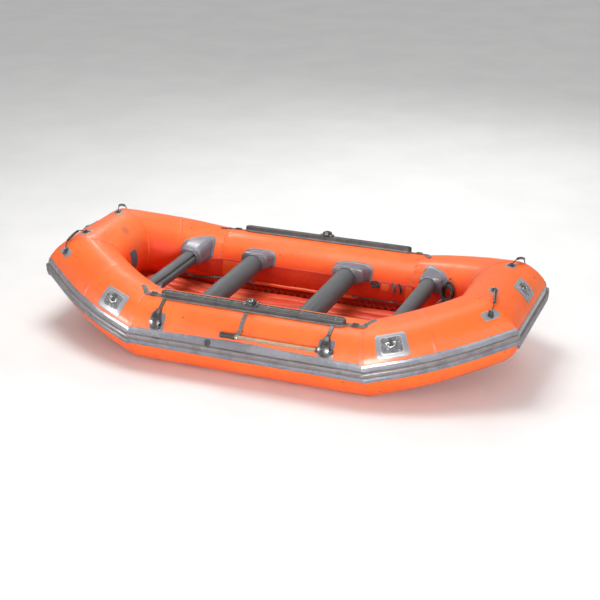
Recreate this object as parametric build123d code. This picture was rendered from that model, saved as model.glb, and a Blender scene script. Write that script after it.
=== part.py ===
from build123d import *
from collections import namedtuple
import math
import os

os.makedirs("parts", exist_ok=True)

# Inflatable raft dinghy with four cross thwarts, millimetres.
# Origin: middle of the boat on the ground plane.  +X to the bow, +Y to port, +Z up.
# The buoyancy tube is a ring of straight sides, bevelled quarters that rise, and cross ends.
# Tube angles are degrees on the tube section: 0 = outboard, 90 = up.

# ---------------------------------------------------------------- driving dimensions
TUBE_R = 281.0          # outer radius of the buoyancy tube
SKIN = 1.2              # coated fabric thickness
HALF_BEAM = 742.0       # side tube centreline from the boat's centreline
X_SHOULDER = 917.0      # where the straight side ends
X_END = 1691.0          # centreline of the cross tube at each end
Y_CORNER = 342.5        # where the cross tube ends
Z_SIDE = TUBE_R         # height of the side tube's axis: the tube rests on the ground
Z_END = 490.0           # height of the cross tube's axis (bow and stern kick)
LEAD_IN = 100.0         # straight part of the bevel at the shoulder
CURVE_LEN = 612.0       # curved part of the bevel
LEAD_OUT = 170.0        # straight part of the bevel at the end corner
QUARTER_LEN = LEAD_IN + CURVE_LEN + LEAD_OUT
QUARTER_STEPS = 7       # flats along the curved part of a bonded strip

GLUE = 1.2              # stand-off of everything bonded to the tube
BOND_R = TUBE_R + GLUE
PIN_CLEARANCE = 0.06
BAND_T = 2.6            # chafe band thickness, which the valve flange clears

X_DIR, Y_DIR, Z_DIR = Vector(1, 0, 0), Vector(0, 1, 0), Vector(0, 0, 1)

# ---------------------------------------------------------------- tube centreline
SHOULDER = Vector(X_SHOULDER, HALF_BEAM, Z_SIDE)
BULGE = Vector(1288.0, 630.0, 368.0)    # control point of the bevel's curve
CORNER = Vector(X_END, Y_CORNER, Z_END)
IN_DIR = (BULGE - SHOULDER).normalized()
OUT_DIR = (CORNER - BULGE).normalized()
CURVE_START = SHOULDER + IN_DIR * LEAD_IN
CURVE_STOP = CORNER - OUT_DIR * LEAD_OUT


def reversed_mitre(mitre):
    return mitre[0], mitre[1] * -1


# Mitre planes as (origin, normal), for the port bow quarter and its neighbours.
SHOULDER_MITRE = (SHOULDER, (X_DIR + IN_DIR).normalized())
CORNER_MITRE = (CORNER, (OUT_DIR - Y_DIR).normalized())
AFT_SHOULDER_MITRE = tuple(Vector(-v.X, v.Y, v.Z) for v in SHOULDER_MITRE)
STARBOARD_CORNER_MITRE = reversed_mitre([Vector(v.X, -v.Y, v.Z) for v in CORNER_MITRE])
STARBOARD_CORNER_MITRE = (Vector(CORNER.X, -CORNER.Y, CORNER.Z), STARBOARD_CORNER_MITRE[1])

Frame = namedtuple("Frame", "centre along outboard up")


def frame_at(centre, along):
    """Frame of the tube section at centre, with the tube running along."""
    outboard = Z_DIR.cross(along).normalized()
    if outboard.dot(Vector(centre.X, centre.Y, 0)) < 0:
        outboard = outboard * -1
    up = along.cross(outboard).normalized()
    if up.Z < 0:
        up = up * -1
    return Frame(centre, along, outboard, up)


def side_frame(x):
    return frame_at(Vector(x, HALF_BEAM, Z_SIDE), X_DIR)


def end_frame(y):
    return frame_at(Vector(X_END, y, Z_END), Y_DIR * -1)


def quarter_frame(distance):
    """Frame on the bevel, at a distance from the shoulder."""
    if distance <= LEAD_IN:
        return frame_at(SHOULDER + IN_DIR * distance, IN_DIR)
    if distance >= LEAD_IN + CURVE_LEN:
        return frame_at(CURVE_STOP + OUT_DIR * (distance - LEAD_IN - CURVE_LEN), OUT_DIR)
    u = (distance - LEAD_IN) / CURVE_LEN
    point = CURVE_START * ((1 - u) ** 2) + BULGE * (2 * u * (1 - u)) + CURVE_STOP * (u * u)
    along = ((BULGE - CURVE_START) * (1 - u) + (CURVE_STOP - BULGE) * u).normalized()
    return frame_at(point, along)


def axis_at_x(x):
    """Half width and height of the tube axis at |x|, and the cosine of its plan angle to X."""
    x = abs(x)
    if x <= X_SHOULDER:
        return HALF_BEAM, Z_SIDE, 1.0
    low, high = 0.0, QUARTER_LEN
    for _ in range(40):
        middle = (low + high) / 2
        if quarter_frame(middle).centre.X < x:
            low = middle
        else:
            high = middle
    frame = quarter_frame(low)
    along = frame.along
    return frame.centre.Y, frame.centre.Z, along.X / math.hypot(along.X, along.Y)


def normal_at(frame, angle):
    a = math.radians(angle)
    return frame.outboard * math.cos(a) + frame.up * math.sin(a)


def on_section(frame, radius, angle):
    return frame.centre + normal_at(frame, angle) * radius


# ---------------------------------------------------------------- solids
def cyl(start, stop, radius):
    run = stop - start
    return Solid.make_cylinder(radius, run.length, Plane(origin=start, z_dir=run.normalized()))


def cone(start, stop, start_r, stop_r):
    run = stop - start
    plane = Plane(origin=start, z_dir=run.normalized())
    return Solid.make_cone(start_r, stop_r, run.length, plane)


def ball(centre, radius):
    return Solid.make_sphere(radius, Plane(origin=centre))


def block(origin, x_dir, z_dir, length, width, height, lift=0.0):
    """Box centred on origin in x and y, standing up along z_dir from lift."""
    base = Plane(origin=origin + z_dir * lift, x_dir=x_dir, z_dir=z_dir)
    start = base.origin - base.x_dir * (length / 2) - base.y_dir * (width / 2)
    return Solid.make_box(length, width, height, Plane(origin=start, x_dir=x_dir, z_dir=z_dir))


def side_core(x_low, x_high, radius):
    """Cylinder on the port side tube's axis."""
    return cyl(side_frame(x_low).centre, side_frame(x_high).centre, radius)


def rod(edge, radius, is_frenet=False):
    """Round bar swept along one edge."""
    path = Wire([edge])
    section = (Plane(origin=path @ 0, z_dir=path % 0) * Circle(radius)).face()
    return Solid.sweep(section, path, is_frenet=is_frenet)


def closed(points):
    return Wire.make_polygon(points, close=True)


def ruled(wires):
    return Solid.make_loft(wires, True)


def fuse(first, *others):
    for other in others:
        first = first + other
    return first


def less(shape, *tools):
    for tool in tools:
        shape = shape - tool
    return shape


def largest(shape):
    return max(shape.solids(), key=lambda s: s.volume)


def trim(shape, mitre):
    """The part of shape behind a mitre plane."""
    origin, normal = mitre
    return split(shape, bisect_by=Plane(origin=origin, z_dir=normal), keep=Keep.BOTTOM)


# ---------------------------------------------------------------- bonded strips
def arc_points(low, high, radius, step):
    """(radius, angle) points whose flats touch the given radius at their middles."""
    n = math.ceil((high - low) / step)
    grown = radius / math.cos(math.radians((high - low) / n / 2))
    return [(grown, low + (high - low) * i / n) for i in range(n + 1)]


def arc_band(low, high, inner_r, outer_r, step):
    """Closed (radius, angle) profile between two radii, in flats of at most step degrees."""
    inner = arc_points(low, high, inner_r, step)
    return inner + [(outer_r, angle) for _, angle in reversed(inner)]


def section_wire(frame, profile, mitre):
    """Profile on a section, slid along the tube to a mitre plane if there is one."""
    points = [on_section(frame, radius, angle) for radius, angle in profile]
    if mitre is not None:
        origin, normal = mitre
        along = frame.along
        points = [p + along * ((origin - p).dot(normal) / along.dot(normal)) for p in points]
    return closed(points)


def strip(sections, profile):
    """Ruled solid through sections, each a (frame, mitre or None)."""
    return ruled([section_wire(frame, profile, mitre) for frame, mitre in sections])


def side_strip(x_low, x_high, profile):
    return strip([(side_frame(x_low), None), (side_frame(x_high), None)], profile)


SIDE_SECTIONS = [
    (side_frame(-X_SHOULDER), AFT_SHOULDER_MITRE),
    (side_frame(X_SHOULDER), SHOULDER_MITRE),
]
QUARTER_SECTIONS = [
    (quarter_frame(0.0), SHOULDER_MITRE),
    *[(quarter_frame(LEAD_IN + CURVE_LEN * i / QUARTER_STEPS), None)
      for i in range(QUARTER_STEPS + 1)],
    (quarter_frame(QUARTER_LEN), CORNER_MITRE),
]
END_SECTIONS = [
    (end_frame(Y_CORNER), CORNER_MITRE),
    (end_frame(-Y_CORNER), STARBOARD_CORNER_MITRE),
]


# ---------------------------------------------------------------- mirrors and files
def flip_x(shape):
    return mirror(shape, about=Plane.YZ)


def flip_y(shape):
    return mirror(shape, about=Plane.XZ)


def both(shape):
    return [shape, flip_y(shape)]


def four(shape):
    """Bow port, bow starboard, stern port, stern starboard."""
    pair = both(shape)
    return pair + [flip_x(s) for s in pair]


def save(name, *shapes):
    found = [solid for shape in shapes for solid in shape.solids()]
    export_step(found[0] if len(found) == 1 else Compound(children=found), f"parts/{name}.step")


def save_sides(name, *shapes):
    save(f"{name}_port", *shapes)
    save(f"{name}_starboard", *[flip_y(s) for s in shapes])


def save_corners(name, shape):
    corners = ("bow_port", "bow_starboard", "stern_port", "stern_starboard")
    for corner, copy in zip(corners, four(shape)):
        save(f"{name}_{corner}", copy)


# ---------------------------------------------------------------- valve position
VALVE_FRAME = side_frame(-277.0)
VALVE_ANGLE = 9.2
VALVE_N = normal_at(VALVE_FRAME, VALVE_ANGLE)
VALVE_ORIGIN = on_section(VALVE_FRAME, TUBE_R, VALVE_ANGLE)
VALVE_SIDE_DIR = VALVE_N.cross(X_DIR).normalized()


def valve_pt(height, x=0.0, side=0.0):
    return VALVE_ORIGIN + VALVE_N * height + X_DIR * x + VALVE_SIDE_DIR * side


def valve_cyl(low, high, radius):
    return cyl(valve_pt(low), valve_pt(high), radius)


valve_hole = valve_cyl(-60, 60, 20.6)

# ---------------------------------------------------------------- buoyancy tube
PANEL_REACH = 260.0     # how far a panel runs past its mitre before it is trimmed
QUARTER_REACH_IN = 130.0
FILL_GAP = 0.6          # clearance of parts cut to fit against the tube
BAFFLE_X = 875.0        # chamber baffles stand just inside the shoulders
BAFFLE_T = 1.5


def tube_panels(radius, inner_r=None):
    """Port side, port bow quarter and bow end, hollow if inner_r is given."""
    def section(origin, z_dir):
        plane = Plane(origin=origin, z_dir=z_dir)
        if inner_r is None:
            return (plane * Circle(radius)).face()
        return ((plane * Circle(radius)) - (plane * Circle(inner_r))).face()

    half = X_SHOULDER + PANEL_REACH
    side = Solid.extrude(section(Vector(-half, HALF_BEAM, Z_SIDE), X_DIR), X_DIR * (2 * half))
    side = trim(side, SHOULDER_MITRE)
    side = trim(side, AFT_SHOULDER_MITRE)

    start = SHOULDER - IN_DIR * QUARTER_REACH_IN
    stop = CORNER + OUT_DIR * PANEL_REACH
    path = Wire([
        Edge.make_line(start, CURVE_START),
        Edge.make_bezier(CURVE_START, BULGE, CURVE_STOP),
        Edge.make_line(CURVE_STOP, stop),
    ])
    quarter = Solid.sweep(section(start, IN_DIR), path)
    quarter = trim(quarter, reversed_mitre(SHOULDER_MITRE))
    quarter = trim(quarter, CORNER_MITRE)

    half = Y_CORNER + PANEL_REACH
    end = Solid.extrude(section(Vector(X_END, half, Z_END), Y_DIR * -1), Y_DIR * (-2 * half))
    end = trim(end, reversed_mitre(CORNER_MITRE))
    end = trim(end, STARBOARD_CORNER_MITRE)
    return side, quarter, end


# Solid tube, used to cut other parts to the tube's surface.
side_fill, quarter_fill, end_fill = tube_panels(TUBE_R + FILL_GAP)


def build_tube():
    side, quarter, end = tube_panels(TUBE_R, TUBE_R - SKIN)
    save_sides("side_tube", less(side, valve_hole))
    bow = both(quarter) + [end]
    save("bow_tube", *bow)
    save("stern_tube", *[flip_x(s) for s in bow])
    baffle = side_core(BAFFLE_X, BAFFLE_X + BAFFLE_T, TUBE_R - SKIN - 0.1)
    save("chamber_baffles", *four(baffle))


build_tube()

# ---------------------------------------------------------------- rub strake and chafe band
STRAKE_LOW, STRAKE_HIGH = -13.8, 3.2    # tube angles
BAND_LOW, BAND_HIGH = 3.6, 14.4
STRAKE_H = 19.8         # how far the two moulded ribs stand off the tube

# Outer face from the top edge down: (share of the strake's span, share of its height).
STRAKE_FACE = [
    (1.0, 0.24), (0.97, 0.55), (0.88, 0.95), (0.72, 1.0), (0.58, 0.86), (0.50, 0.40),
    (0.42, 0.86), (0.28, 1.0), (0.12, 0.95), (0.03, 0.55), (0.0, 0.24),
]


def build_strake():
    """Two rounded ribs with a groove between them, all round the tube."""
    span = STRAKE_HIGH - STRAKE_LOW
    profile = arc_points(STRAKE_LOW, STRAKE_HIGH, BOND_R, 6.0)
    profile += [(BOND_R + (STRAKE_H - GLUE) * height, STRAKE_LOW + span * share)
                for share, height in STRAKE_FACE]
    save_sides("rub_strake", strip(SIDE_SECTIONS, profile))
    bow = both(strip(QUARTER_SECTIONS, profile)) + [strip(END_SECTIONS, profile)]
    save("rub_strake_bow", *bow)
    save("rub_strake_stern", *[flip_x(s) for s in bow])


def build_chafe_band():
    """Flat band just above the strake."""
    profile = arc_band(BAND_LOW, BAND_HIGH, BOND_R, BOND_R + BAND_T, 5.4)
    side = less(strip(SIDE_SECTIONS, profile), valve_hole)
    quarter = strip(QUARTER_SECTIONS, profile)
    end = strip(END_SECTIONS, profile)
    save("chafe_band", *both(side), *four(quarter), end, flip_x(end))


build_strake()
build_chafe_band()

# ---------------------------------------------------------------- inflatable floor
FLOOR_HALF = 478.0      # half width between the straight sides
FLOOR_H = 106.0
FLOOR_Z = 56.0
FLOOR_CELLS = 8
FLOOR_NOSE = 130.0      # length over which each end rounds down
FLOOR_RISE = 0.96       # share of the tube's kick that the floor follows
SEAM_SHARE = 0.80       # height of the valleys between cells, of the floor's height
FLOOR_EDGE_DROP = 10.0
TOP_SKIN_DROP = SKIN * 1.15     # vertical thickness of the sloping top skin
FLOOR_GAP = 0.3
WEB_LEN, WEB_T, WEB_TOP_GAP = 1760.0, 1.0, 0.4

FLOOR_X = [917.0, 1010.0, 1110.0, 1210.0, 1310.0, 1370.0, 1410.0, 1435.0, 1450.0]
FLOOR_STATIONS = [-x for x in reversed(FLOOR_X)] + FLOOR_X
# One cell's top: (share of the cell's width, share of the rise from valley to crest).
CELL_TOP = [(0.0, 0.0), (0.18, 0.72), (0.5, 1.0), (0.82, 0.72)]


def floor_station(x):
    """Half width, underside height and thickness of the floor at x."""
    axis_y, axis_z, plan_cos = axis_at_x(x)
    half = axis_y - (HALF_BEAM - FLOOR_HALF) / plan_cos
    nose = max(0.0, (abs(x) - (FLOOR_X[-1] - FLOOR_NOSE)) / FLOOR_NOSE)
    height = FLOOR_H * math.sqrt(1 - nose * nose) * 0.9 + FLOOR_H * 0.1
    return half, FLOOR_Z + (axis_z - Z_SIDE) * FLOOR_RISE, height


def floor_top_wire(x):
    half, bottom, height = floor_station(x)
    valley, crest = bottom + height * SEAM_SHARE, bottom + height
    cell = 2 * half / FLOOR_CELLS
    top = [(-half + cell * (i + share), valley + (crest - valley) * rise)
           for i in range(FLOOR_CELLS) for share, rise in CELL_TOP]
    edge_z = valley - FLOOR_EDGE_DROP * height / FLOOR_H
    top[0] = (-half, edge_z)
    top.append((half, edge_z))
    inset = half - SKIN
    outer = [(-half, bottom)] + top + [(half, bottom)]
    inner = [(max(-inset, min(inset, y)), z - TOP_SKIN_DROP) for y, z in reversed(top)]
    inner = [(inset, bottom)] + inner + [(-inset, bottom)]
    return closed([Vector(x, y, z) for y, z in outer + inner])


def floor_bottom_wire(x):
    half, bottom, _ = floor_station(x)
    high = bottom - FLOOR_GAP
    low = high - SKIN
    corners = [(-half, low), (half, low), (half, high), (-half, high)]
    return closed([Vector(x, y, z) for y, z in corners])


def floor_web(seam):
    y = -FLOOR_HALF + 2 * FLOOR_HALF * seam / FLOOR_CELLS
    height = FLOOR_H * SEAM_SHARE - TOP_SKIN_DROP - WEB_TOP_GAP - FLOOR_GAP
    corner = Vector(-WEB_LEN / 2, y - WEB_T / 2, FLOOR_Z + FLOOR_GAP)
    return Solid.make_box(WEB_LEN, WEB_T, height, Plane(origin=corner))


save("floor_top_skin", ruled([floor_top_wire(x) for x in FLOOR_STATIONS]))
save("floor_bottom_skin", ruled([floor_bottom_wire(x) for x in FLOOR_STATIONS]))
save("floor_beam_webs", *[floor_web(i) for i in range(1, FLOOR_CELLS)])
lacing = side_strip(-870.0, 870.0, arc_band(193.0, 201.0, BOND_R, BOND_R + 2.4, 4.0))
save("floor_lacing_strips", *both(lacing))

# ---------------------------------------------------------------- thwarts and collars
THWARTS = [             # x, height, radius, collar base radius
    (-1062.0, 436.0, 67.0, 112.0),
    (-513.0, 420.0, 84.0, 118.0),
    (323.0, 420.0, 88.0, 134.0),
    (1044.0, 474.0, 67.0, 106.0),
]
COLLAR_LEN = 82.0       # from the tube wall inboard
COLLAR_BURY = 70.0      # how far the cone runs into the tube before it is cut
COLLAR_WALL = 3.0


def thwart_and_collar(x, z, radius, base_r):
    """A thwart cut to the side walls, and its port collar."""
    straight = abs(x) < X_SHOULDER - 200
    if straight:
        wall = side_fill
    else:
        wall = quarter_fill if x > 0 else flip_x(quarter_fill)
    axis_y, axis_z, plan_cos = axis_at_x(x)

    tube = cyl(Vector(x, -axis_y, z), Vector(x, axis_y, z), radius)
    bore = cyl(Vector(x, -axis_y - 5, z), Vector(x, axis_y + 5, z), radius - SKIN)
    middle = min(less(tube, wall, flip_y(wall)).solids(), key=lambda s: abs(s.center().Y))
    thwart = largest(less(middle, bore))

    wall_y = axis_y - math.sqrt(TUBE_R ** 2 - (z - axis_z) ** 2) / plan_cos
    narrow_r = radius + COLLAR_WALL
    wide_r = base_r + (base_r - narrow_r) * COLLAR_BURY / COLLAR_LEN * 0.6
    collar = cone(Vector(x, wall_y - COLLAR_LEN, z), Vector(x, wall_y + COLLAR_BURY, z),
                  narrow_r, wide_r)
    collar = less(collar, wall, cyl(Vector(x, 0, z), Vector(x, axis_y, z), radius + 0.3))
    # Only the piece inboard of the tube counts.
    collar = max(collar.solids(),
                 key=lambda s: s.volume if s.center().Y < axis_y - 40 else 0)
    return thwart, collar


collars = []
for number, sizes in enumerate(THWARTS, 1):
    thwart, collar = thwart_and_collar(*sizes)
    save(f"thwart_{number}", thwart)
    collars.append(collar)
save_sides("thwart_collars", *collars)

# ---------------------------------------------------------------- gunwale rails
RAIL_LEN = 1512.0
RAIL_ANGLE = 77.0       # 13 degrees outboard of the top
RAIL_W = 84.0
RAIL_END_W = 90.0       # width of the slot shape that rounds the rail's ends
RAIL_GAP = 0.8          # between the rail's foot and the tube
RAIL_N = normal_at(side_frame(0.0), RAIL_ANGLE)
RAIL_ACROSS = X_DIR.cross(RAIL_N).normalized()      # inboard
RAIL_ORIGIN = on_section(side_frame(0.0), TUBE_R, RAIL_ANGLE)

# Rail top from the inboard edge: (across, height above the tube).
RAIL_TOP = [
    (42, 6), (40, 17), (31, 39), (26, 46), (19, 49), (16, 44), (8, 44), (5, 49),
    (-5, 49), (-8, 44), (-16, 44), (-19, 49), (-26, 46), (-31, 39), (-40, 17), (-42, 6),
]
SLEEVE_R = 13.0
SLEEVE_HEAD_R = 17.0
SLEEVE_HEAD_T = 3.0
SLEEVE_LOW, SLEEVE_TOP = 3.0, 84.0


def rail_pt(x, across, height):
    return Vector(x, RAIL_ORIGIN.Y, RAIL_ORIGIN.Z) + RAIL_ACROSS * across + RAIL_N * height


def rail_cyl(low, high, radius):
    return cyl(rail_pt(0, 0, low), rail_pt(0, 0, high), radius)


pin_bore = rail_cyl(-30, 120, SLEEVE_R + PIN_CLEARANCE)


def gunwale_rail():
    start, half_w = -RAIL_LEN / 2, RAIL_W / 2
    foot = math.sqrt((TUBE_R + RAIL_GAP) ** 2 - half_w ** 2) - TUBE_R
    top = [rail_pt(start, across, height) for across, height in RAIL_TOP]
    inboard, outboard = rail_pt(start, half_w, foot), rail_pt(start, -half_w, foot)
    outline = [inboard] + top + [outboard]
    edges = [Edge.make_line(a, b) for a, b in zip(outline, outline[1:])]
    edges.append(Edge.make_three_point_arc(outboard, rail_pt(start, 0, RAIL_GAP), inboard))
    rail = Solid.extrude(Face(Wire(edges)), X_DIR * RAIL_LEN)
    slot_plane = Plane(origin=rail_pt(0, 0, -40), x_dir=X_DIR, z_dir=RAIL_N)
    rail = rail & extrude(slot_plane * SlotOverall(RAIL_LEN, RAIL_END_W), 160.0)
    return less(rail, pin_bore)


save_sides("gunwale_rail", gunwale_rail())

# ---------------------------------------------------------------- rowlock, one each side
# Knob half section: (radius, height above the tube).
KNOB_PROFILE = [
    (SLEEVE_R + PIN_CLEARANCE, 61.4), (38, 61.4), (41, 64), (41, 69), (39, 76), (34, 82),
    (27, 86.5), (22, 88), (17.6, 88), (17.6, 80.7), (SLEEVE_R + PIN_CLEARANCE, 80.7),
]
KNOB_NOTCHES = 6
KNOB_NOTCH_PITCH_R = 45
KNOB_NOTCH_R = 8.0


def rowlock_saddle():
    saddle = block(rail_pt(0, 0, 0), X_DIR, RAIL_N, length=116.0, width=66.0, height=11.6,
                   lift=49.4)
    uprights = Part(saddle.wrapped).edges().filter_by(
        lambda e: abs(e.tangent_at(0.5).dot(RAIL_N)) > 0.99)
    return less(fillet(uprights, 22.0), pin_bore)


def rowlock_sleeve():
    sleeve = fuse(rail_cyl(SLEEVE_LOW, SLEEVE_TOP, SLEEVE_R),
                  rail_cyl(SLEEVE_TOP - SLEEVE_HEAD_T, SLEEVE_TOP, SLEEVE_HEAD_R))
    return less(sleeve, rail_cyl(0, 100, 8.0))


def rowlock_knob():
    outline = closed([Vector(radius, 0, height) for radius, height in KNOB_PROFILE])
    knob = Solid.revolve(Face(outline), 360.0, Axis.Z)
    knob = knob.moved(Plane(origin=rail_pt(0, 0, 0), x_dir=X_DIR, z_dir=RAIL_N).location)
    for i in range(KNOB_NOTCHES):
        a = math.radians(360 / KNOB_NOTCHES * i + 30)
        base = rail_pt(KNOB_NOTCH_PITCH_R * math.cos(a), KNOB_NOTCH_PITCH_R * math.sin(a), 55)
        knob = less(knob, cyl(base, base + RAIL_N * 50, KNOB_NOTCH_R))
    return knob


save("rowlock_saddles", *both(rowlock_saddle()))
save("rowlock_sleeves", *both(rowlock_sleeve()))
save_sides("rowlock_knob", rowlock_knob())

# ---------------------------------------------------------------- oars
OAR_ANGLE = 25.0
OAR_N = normal_at(side_frame(0.0), OAR_ANGLE)
OAR_UP = X_DIR.cross(OAR_N)             # up round the tube
OAR_AXIS_R = TUBE_R + 30.0              # oar axis from the tube's axis
OAR_AFT, OAR_FORE = -170.0, 735.0
SHAFT_R = 15.0
GRIP_R = 21.0
GRIP_FORE = -46.0
FERRULE_R = 16.5
FERRULE_AFT = 598.0
SLIP_FIT = 0.05         # radial clearance over the shaft


def oar_pt(x):
    return on_section(side_frame(x), OAR_AXIS_R, OAR_ANGLE)


def oar_cyl(x_low, x_high, radius):
    return cyl(oar_pt(x_low), oar_pt(x_high), radius)


def oar_grip():
    grip = fuse(
        oar_cyl(OAR_AFT + 6, GRIP_FORE, GRIP_R - 1.5),
        cone(oar_pt(OAR_AFT), oar_pt(OAR_AFT + 6), 17.0, GRIP_R),
        oar_cyl(OAR_AFT + 6, OAR_AFT + 26, GRIP_R + 1.0),
        oar_cyl(GRIP_FORE - 12, GRIP_FORE, GRIP_R + 0.5),
    )
    return less(grip, oar_cyl(OAR_AFT + 9.9, 0, SHAFT_R + SLIP_FIT))


def oar_ferrule():
    ferrule = fuse(oar_cyl(FERRULE_AFT, OAR_FORE - 6, FERRULE_R),
                   cone(oar_pt(OAR_FORE - 6), oar_pt(OAR_FORE), FERRULE_R, 12.0))
    return less(ferrule, oar_cyl(FERRULE_AFT - 8, OAR_FORE - 11.9, SHAFT_R + SLIP_FIT))


save_sides("oar_shaft", oar_cyl(OAR_AFT + 10, OAR_FORE - 12, SHAFT_R))
save_sides("oar_grip", oar_grip())
save_sides("oar_ferrule", oar_ferrule())

# ---------------------------------------------------------------- oar holders
HOLDER_X = (-715.0, 665.0)
HOLDER_BELLY_R = 45.0
HOLDER_BORE_R = 17.5
HOLDER_SINK = 34.0      # depth of the blank inside the tube before it is cut
HOLDER_H = 56.0
NECK_HALF = 14.0
HOLDER_FOOT_R = TUBE_R + 1.3
STRAP_TOP_ANGLE = 67.6  # where the holder necks and oar straps end, below the rail


def oar_holder(x):
    """Teardrop block with a neck running up the tube, bored for the shaft."""
    foot = on_section(side_frame(x), TUBE_R, OAR_ANGLE)
    base = Plane(origin=foot - OAR_N * HOLDER_SINK, x_dir=X_DIR, z_dir=OAR_N)
    corners = [(-40.0, 20.0), (40.0, 20.0), (NECK_HALF, 118.0), (-NECK_HALF, 118.0)]
    taper = closed([base.origin + X_DIR * a + OAR_UP * b for a, b in corners])
    depth = HOLDER_SINK + HOLDER_H
    body = fuse(Solid.make_cylinder(HOLDER_BELLY_R, depth, base),
                Solid.extrude(Face(taper), OAR_N * depth))
    # The outer face rounds down towards the neck.
    body = body & ball(foot - OAR_N * 62 + OAR_UP * 22, 118.0)
    neck = side_strip(x - NECK_HALF, x + NECK_HALF, arc_band(
        OAR_ANGLE + 15.0, STRAP_TOP_ANGLE, HOLDER_FOOT_R, TUBE_R + 10.0, 6.0))
    body = fuse(body, neck)
    body = less(body, side_core(x - 120, x + 120, HOLDER_FOOT_R))
    body = less(body, oar_cyl(x - 90, x + 90, HOLDER_BORE_R))
    return largest(body)


def holder_patch(x):
    return side_strip(x - 62, x + 62, arc_band(14.9, 44.0, TUBE_R + 0.3, TUBE_R + 1.1, 3.0))


save_sides("oar_holders", *[oar_holder(x) for x in HOLDER_X])
save("oar_holder_patches", *[s for x in HOLDER_X for s in both(holder_patch(x))])

# ---------------------------------------------------------------- oar straps and rings
STRAP_X = -25.0
STRAP_W = 32.0
STRAP_OUTER_R = TUBE_R + 3.6
RING_MAJOR, RING_WIRE = 20.5, 3.0


def oar_strap():
    """Webbing on the tube with a lug at its lower end, pierced for the ring."""
    frame = side_frame(STRAP_X)
    x_low, x_high = STRAP_X - STRAP_W / 2, STRAP_X + STRAP_W / 2
    webbing = side_strip(x_low, x_high, arc_band(
        36.0, STRAP_TOP_ANGLE, TUBE_R + 1.3, STRAP_OUTER_R, 4.0))
    eye = oar_pt(STRAP_X) + OAR_UP * (RING_MAJOR + 0.3)
    wedge = [
        on_section(frame, TUBE_R + 1.6, 36.8),
        on_section(frame, STRAP_OUTER_R, 38.4),
        eye + OAR_UP * 5.6 + OAR_N * 3.0,
        eye + OAR_UP * 5.6 - OAR_N * 4.0,
    ]
    half = X_DIR * (STRAP_W / 2)
    lead = ruled([closed([p - half for p in wedge]), closed([p + half for p in wedge])])
    lug = fuse(cyl(eye - OAR_N * 5, eye + OAR_N * 5, 7.2), lead)
    lug = less(lug, cyl(eye - OAR_N * 9, eye + OAR_N * 9, 4.4))
    strap = less(fuse(webbing, lug),
                 side_core(STRAP_X - 60, STRAP_X + 60, BOND_R),
                 oar_cyl(STRAP_X - 40, STRAP_X + 40, SHAFT_R + 1.2))
    return largest(strap)


ring = Solid.make_torus(RING_MAJOR, RING_WIRE, Plane(origin=oar_pt(STRAP_X), z_dir=X_DIR))
save("oar_strap_rings", *both(ring))
save("oar_straps", *both(oar_strap()))

# ---------------------------------------------------------------- webbing at each rail end
TIE_BUCKLE_X = 828.0
BUCKLE_SLOT_OFFSET = 8.0


def tie_block(x, **sizes):
    return block(on_section(side_frame(x), TUBE_R, RAIL_ANGLE), X_DIR, RAIL_N, **sizes)


def tie_buckle():
    slots = [tie_block(TIE_BUCKLE_X + offset, length=9.0, width=30.0, height=20.0)
             for offset in (-BUCKLE_SLOT_OFFSET, BUCKLE_SLOT_OFFSET)]
    return less(tie_block(TIE_BUCKLE_X, length=46.0, width=42.0, height=7.0, lift=5.0), *slots)


tie = side_strip(760.0, 880.0, arc_band(
    RAIL_ANGLE - 3.6, RAIL_ANGLE + 3.6, BOND_R, BOND_R + 2.6, 3.6))
save("rail_tie_straps", *four(tie))
save("rail_tie_buckles", *four(tie_buckle()))

# ---------------------------------------------------------------- D-rings on bonded patches
PATCH_T = 2.6
D_WIRE = 3.5
D_MAJOR = 34.0
D_BAR_LIFT = GLUE + PATCH_T + 5.6       # bar's axis above the tube
QUARTER_RING_AT = 200.0                 # distance from the shoulder
BOW_RING_Y, STERN_RING_Y = 30.0, 0.0


def d_ring_set(frame, angle, patch):
    """Patch with its webbing keeper, and a ring whose bar runs along the tube."""
    along = frame.along
    normal = normal_at(frame, angle)
    foot = on_section(frame, TUBE_R, angle)
    down = along.cross(normal).normalized()
    if down.Z > 0:
        down = down * -1
    bar = foot + normal * D_BAR_LIFT

    def bar_cyl(half, radius):
        return cyl(bar - along * half, bar + along * half, radius)

    keeper = fuse(block(foot, along, normal, length=34.0, width=26.0, height=D_BAR_LIFT + 1.0,
                        lift=GLUE + PATCH_T - 1.2),
                  bar_cyl(17, 7.0))
    keeper = less(keeper, bar_cyl(30, D_WIRE + PIN_CLEARANCE))
    base = fuse(patch, keeper)
    # Half a torus below the bar makes the bow of the D.
    reach = D_MAJOR + 10
    hoop = Solid.make_torus(D_MAJOR, D_WIRE, Plane(origin=bar, x_dir=along, z_dir=normal))
    hoop = hoop & block(bar + down * reach, along, normal, length=120.0, width=2 * reach,
                        height=30.0, lift=-15.0)
    ring = fuse(hoop, bar_cyl(D_MAJOR, D_WIRE), ball(bar - along * D_MAJOR, D_WIRE),
                ball(bar + along * D_MAJOR, D_WIRE))
    return largest(base), largest(ring)


def quarter_d_ring():
    sections = [(quarter_frame(QUARTER_RING_AT + 36.0 * i), None) for i in range(-3, 4)]
    patch = strip(sections, arc_band(18.8, 56.8, BOND_R, BOND_R + PATCH_T, 3.0))
    return d_ring_set(quarter_frame(QUARTER_RING_AT), 42.0, patch)


def end_d_ring(y):
    patch = strip([(end_frame(y + 110.0), None), (end_frame(y - 110.0), None)],
                  arc_band(27.0, 62.0, BOND_R, BOND_R + PATCH_T, 3.0))
    return d_ring_set(end_frame(y), 49.0, patch)


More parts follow.
